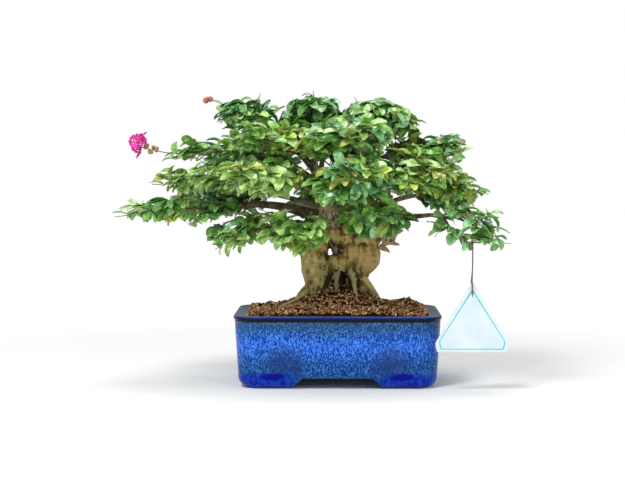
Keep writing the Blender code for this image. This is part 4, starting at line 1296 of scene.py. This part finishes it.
def make_plant(trunk_tree):
    bough_bark = bough_finish()
    twig_bark = twig_finish("twig_bark", (0.16, 0.105, 0.065), (0.27, 0.19, 0.12))
    shoot_bark = twig_finish("shoot_bark", (0.30, 0.115, 0.075), (0.38, 0.22, 0.12))
    rib = leaf_finish("leaf_rib", (0.60, 0.76, 0.44), 0.4)
    under = leaf_finish("leaf_under", (0.38, 0.54, 0.22), 0.5)
    # Painted highlight: pale edges that stand in for light caught along each leaf's rim.
    painted_edge_highlight = leaf_finish("leaf_painted_edge_highlight", (0.52, 0.72, 0.38), 0.4)
    wood, shoots, leaves = Bundle(), Bundle(), LeafStore()
    share_space(CROWN)
    stems = {}
    for number, mass in enumerate(CROWN):
        make_bough(number, mass, bough_bark)
        rng = random.Random(100 + number)
        stems[mass.name] = Grower(mass, rng, wood, shoots, leaves, trunk_tree).grow()

    def add_growth(name, mesh, *finishes, stands_for=()):
        add_piece(name, mesh, finishes, "plant", "foliage", stands_for)

    every_mass = ["foliage_" + mass.name for mass in CROWN]
    add_growth("twigs", wood.mesh("twigs"), twig_bark, stands_for=every_mass)
    add_growth("young_shoots", shoots.mesh("shoots"), shoot_bark)
    for tint in leaves.rows:
        face = leaf_finish("leaf_" + tint, *LEAF_LOOKS[tint])
        add_growth("leaves_" + tint, leaves.mesh(tint), face, rib, under, painted_edge_highlight)
    flower = stems["flower_shoot"]
    petals, stalks, capsules = make_blossom(flower[-1], flower[-3])
    buds = make_buds(stems["upper_left"][-1])
    for name, bundle, finish in (
        ("blossom_petals", petals, plain_finish("petal_magenta", (0.83, 0.035, 0.42), 0.55)),
        ("blossom_stalks", stalks, plain_finish("flower_stalk", (0.33, 0.19, 0.07), 0.6)),
        ("seed_capsules", capsules, plain_finish("capsule_skin", (0.34, 0.20, 0.075), 0.4)),
        ("flower_buds", buds, plain_finish("bud_skin", (0.50, 0.12, 0.08), 0.4)),
    ):
        add_growth(name, bundle.mesh(name), finish)


# ---------- studio

def make_floor():
    """Pale paper that fades into the light round about."""
    mesh = bpy.data.meshes.new("floor")
    mesh.from_pydata([(-6, -6, 0), (6, -6, 0), (6, 6, 0), (-6, 6, 0)], [], [(0, 1, 2, 3)])
    paper = Finish("studio_paper", roughness=0.9, emission_strength=1.0)
    x, y, _ = paper.axes()
    away = (x ** 2.0 + y ** 2.0).rise(260.0 ** 2, 900.0 ** 2)
    paper.feed(base_color=paper.mix(away, (0.93, 0.93, 0.93), (0.0, 0.0, 0.0)),
               emission_color=paper.mix(away, (0.0, 0.0, 0.0), (1.0, 1.0, 1.0)))
    mesh.materials.append(paper.material)
    link_new("floor", mesh)


def make_sky():
    """White all round, dimmer overhead."""
    world = bpy.data.worlds.new("studio")
    bpy.context.scene.world = world
    world.use_nodes = True
    sky = Graph(world.node_tree)
    height = sky.node("SeparateXYZ", {}, {0: sky.node("TexCoord")}, outlet=2)
    strength = 1 - height.rise(0.16, 0.5) * (1 - SKY_OVERHEAD)
    background = sky.tree.nodes["Background"].inputs
    background["Color"].default_value = (1.0, 1.0, 1.0, 1.0)
    sky.tree.links.new(strength.socket, background["Strength"])


def look_from(item, spot, target):
    item.location = spot
    item.rotation_euler = (target - item.location).to_track_quat("-Z", "Y").to_euler()


def make_lamps():
    for name, (spot, size, power) in LAMPS.items():
        light = bpy.data.lights.new(name, "AREA")
        light.size = size
        light.energy = power
        look_from(link_new(name, light), spot, LAMP_TARGET)


def make_camera():
    """Two metres in front of the pot, a little above its rim."""
    lens = bpy.data.cameras.new("camera")
    lens.sensor_width = 36.0
    lens.lens = CAMERA_LENS
    camera = link_new("camera", lens)
    look_from(camera, place(CAMERA_SPOT), place(CAMERA_TARGET))
    bpy.context.scene.camera = camera


make_camera()
make_floor()
make_sky()
make_lamps()
make_pot(glaze_finish())
trunk_space = make_trunk(bark_finish())
make_soil()
make_tag(card_finish())
make_tag_border(plain_finish("tag_ink", (0.03, 0.55, 0.56), 0.4))
make_tie(plain_finish("tie_cover", (0.11, 0.075, 0.065), 0.6))
make_plant(trunk_space)
bpy.context.scene.view_settings.view_transform = "Standard"
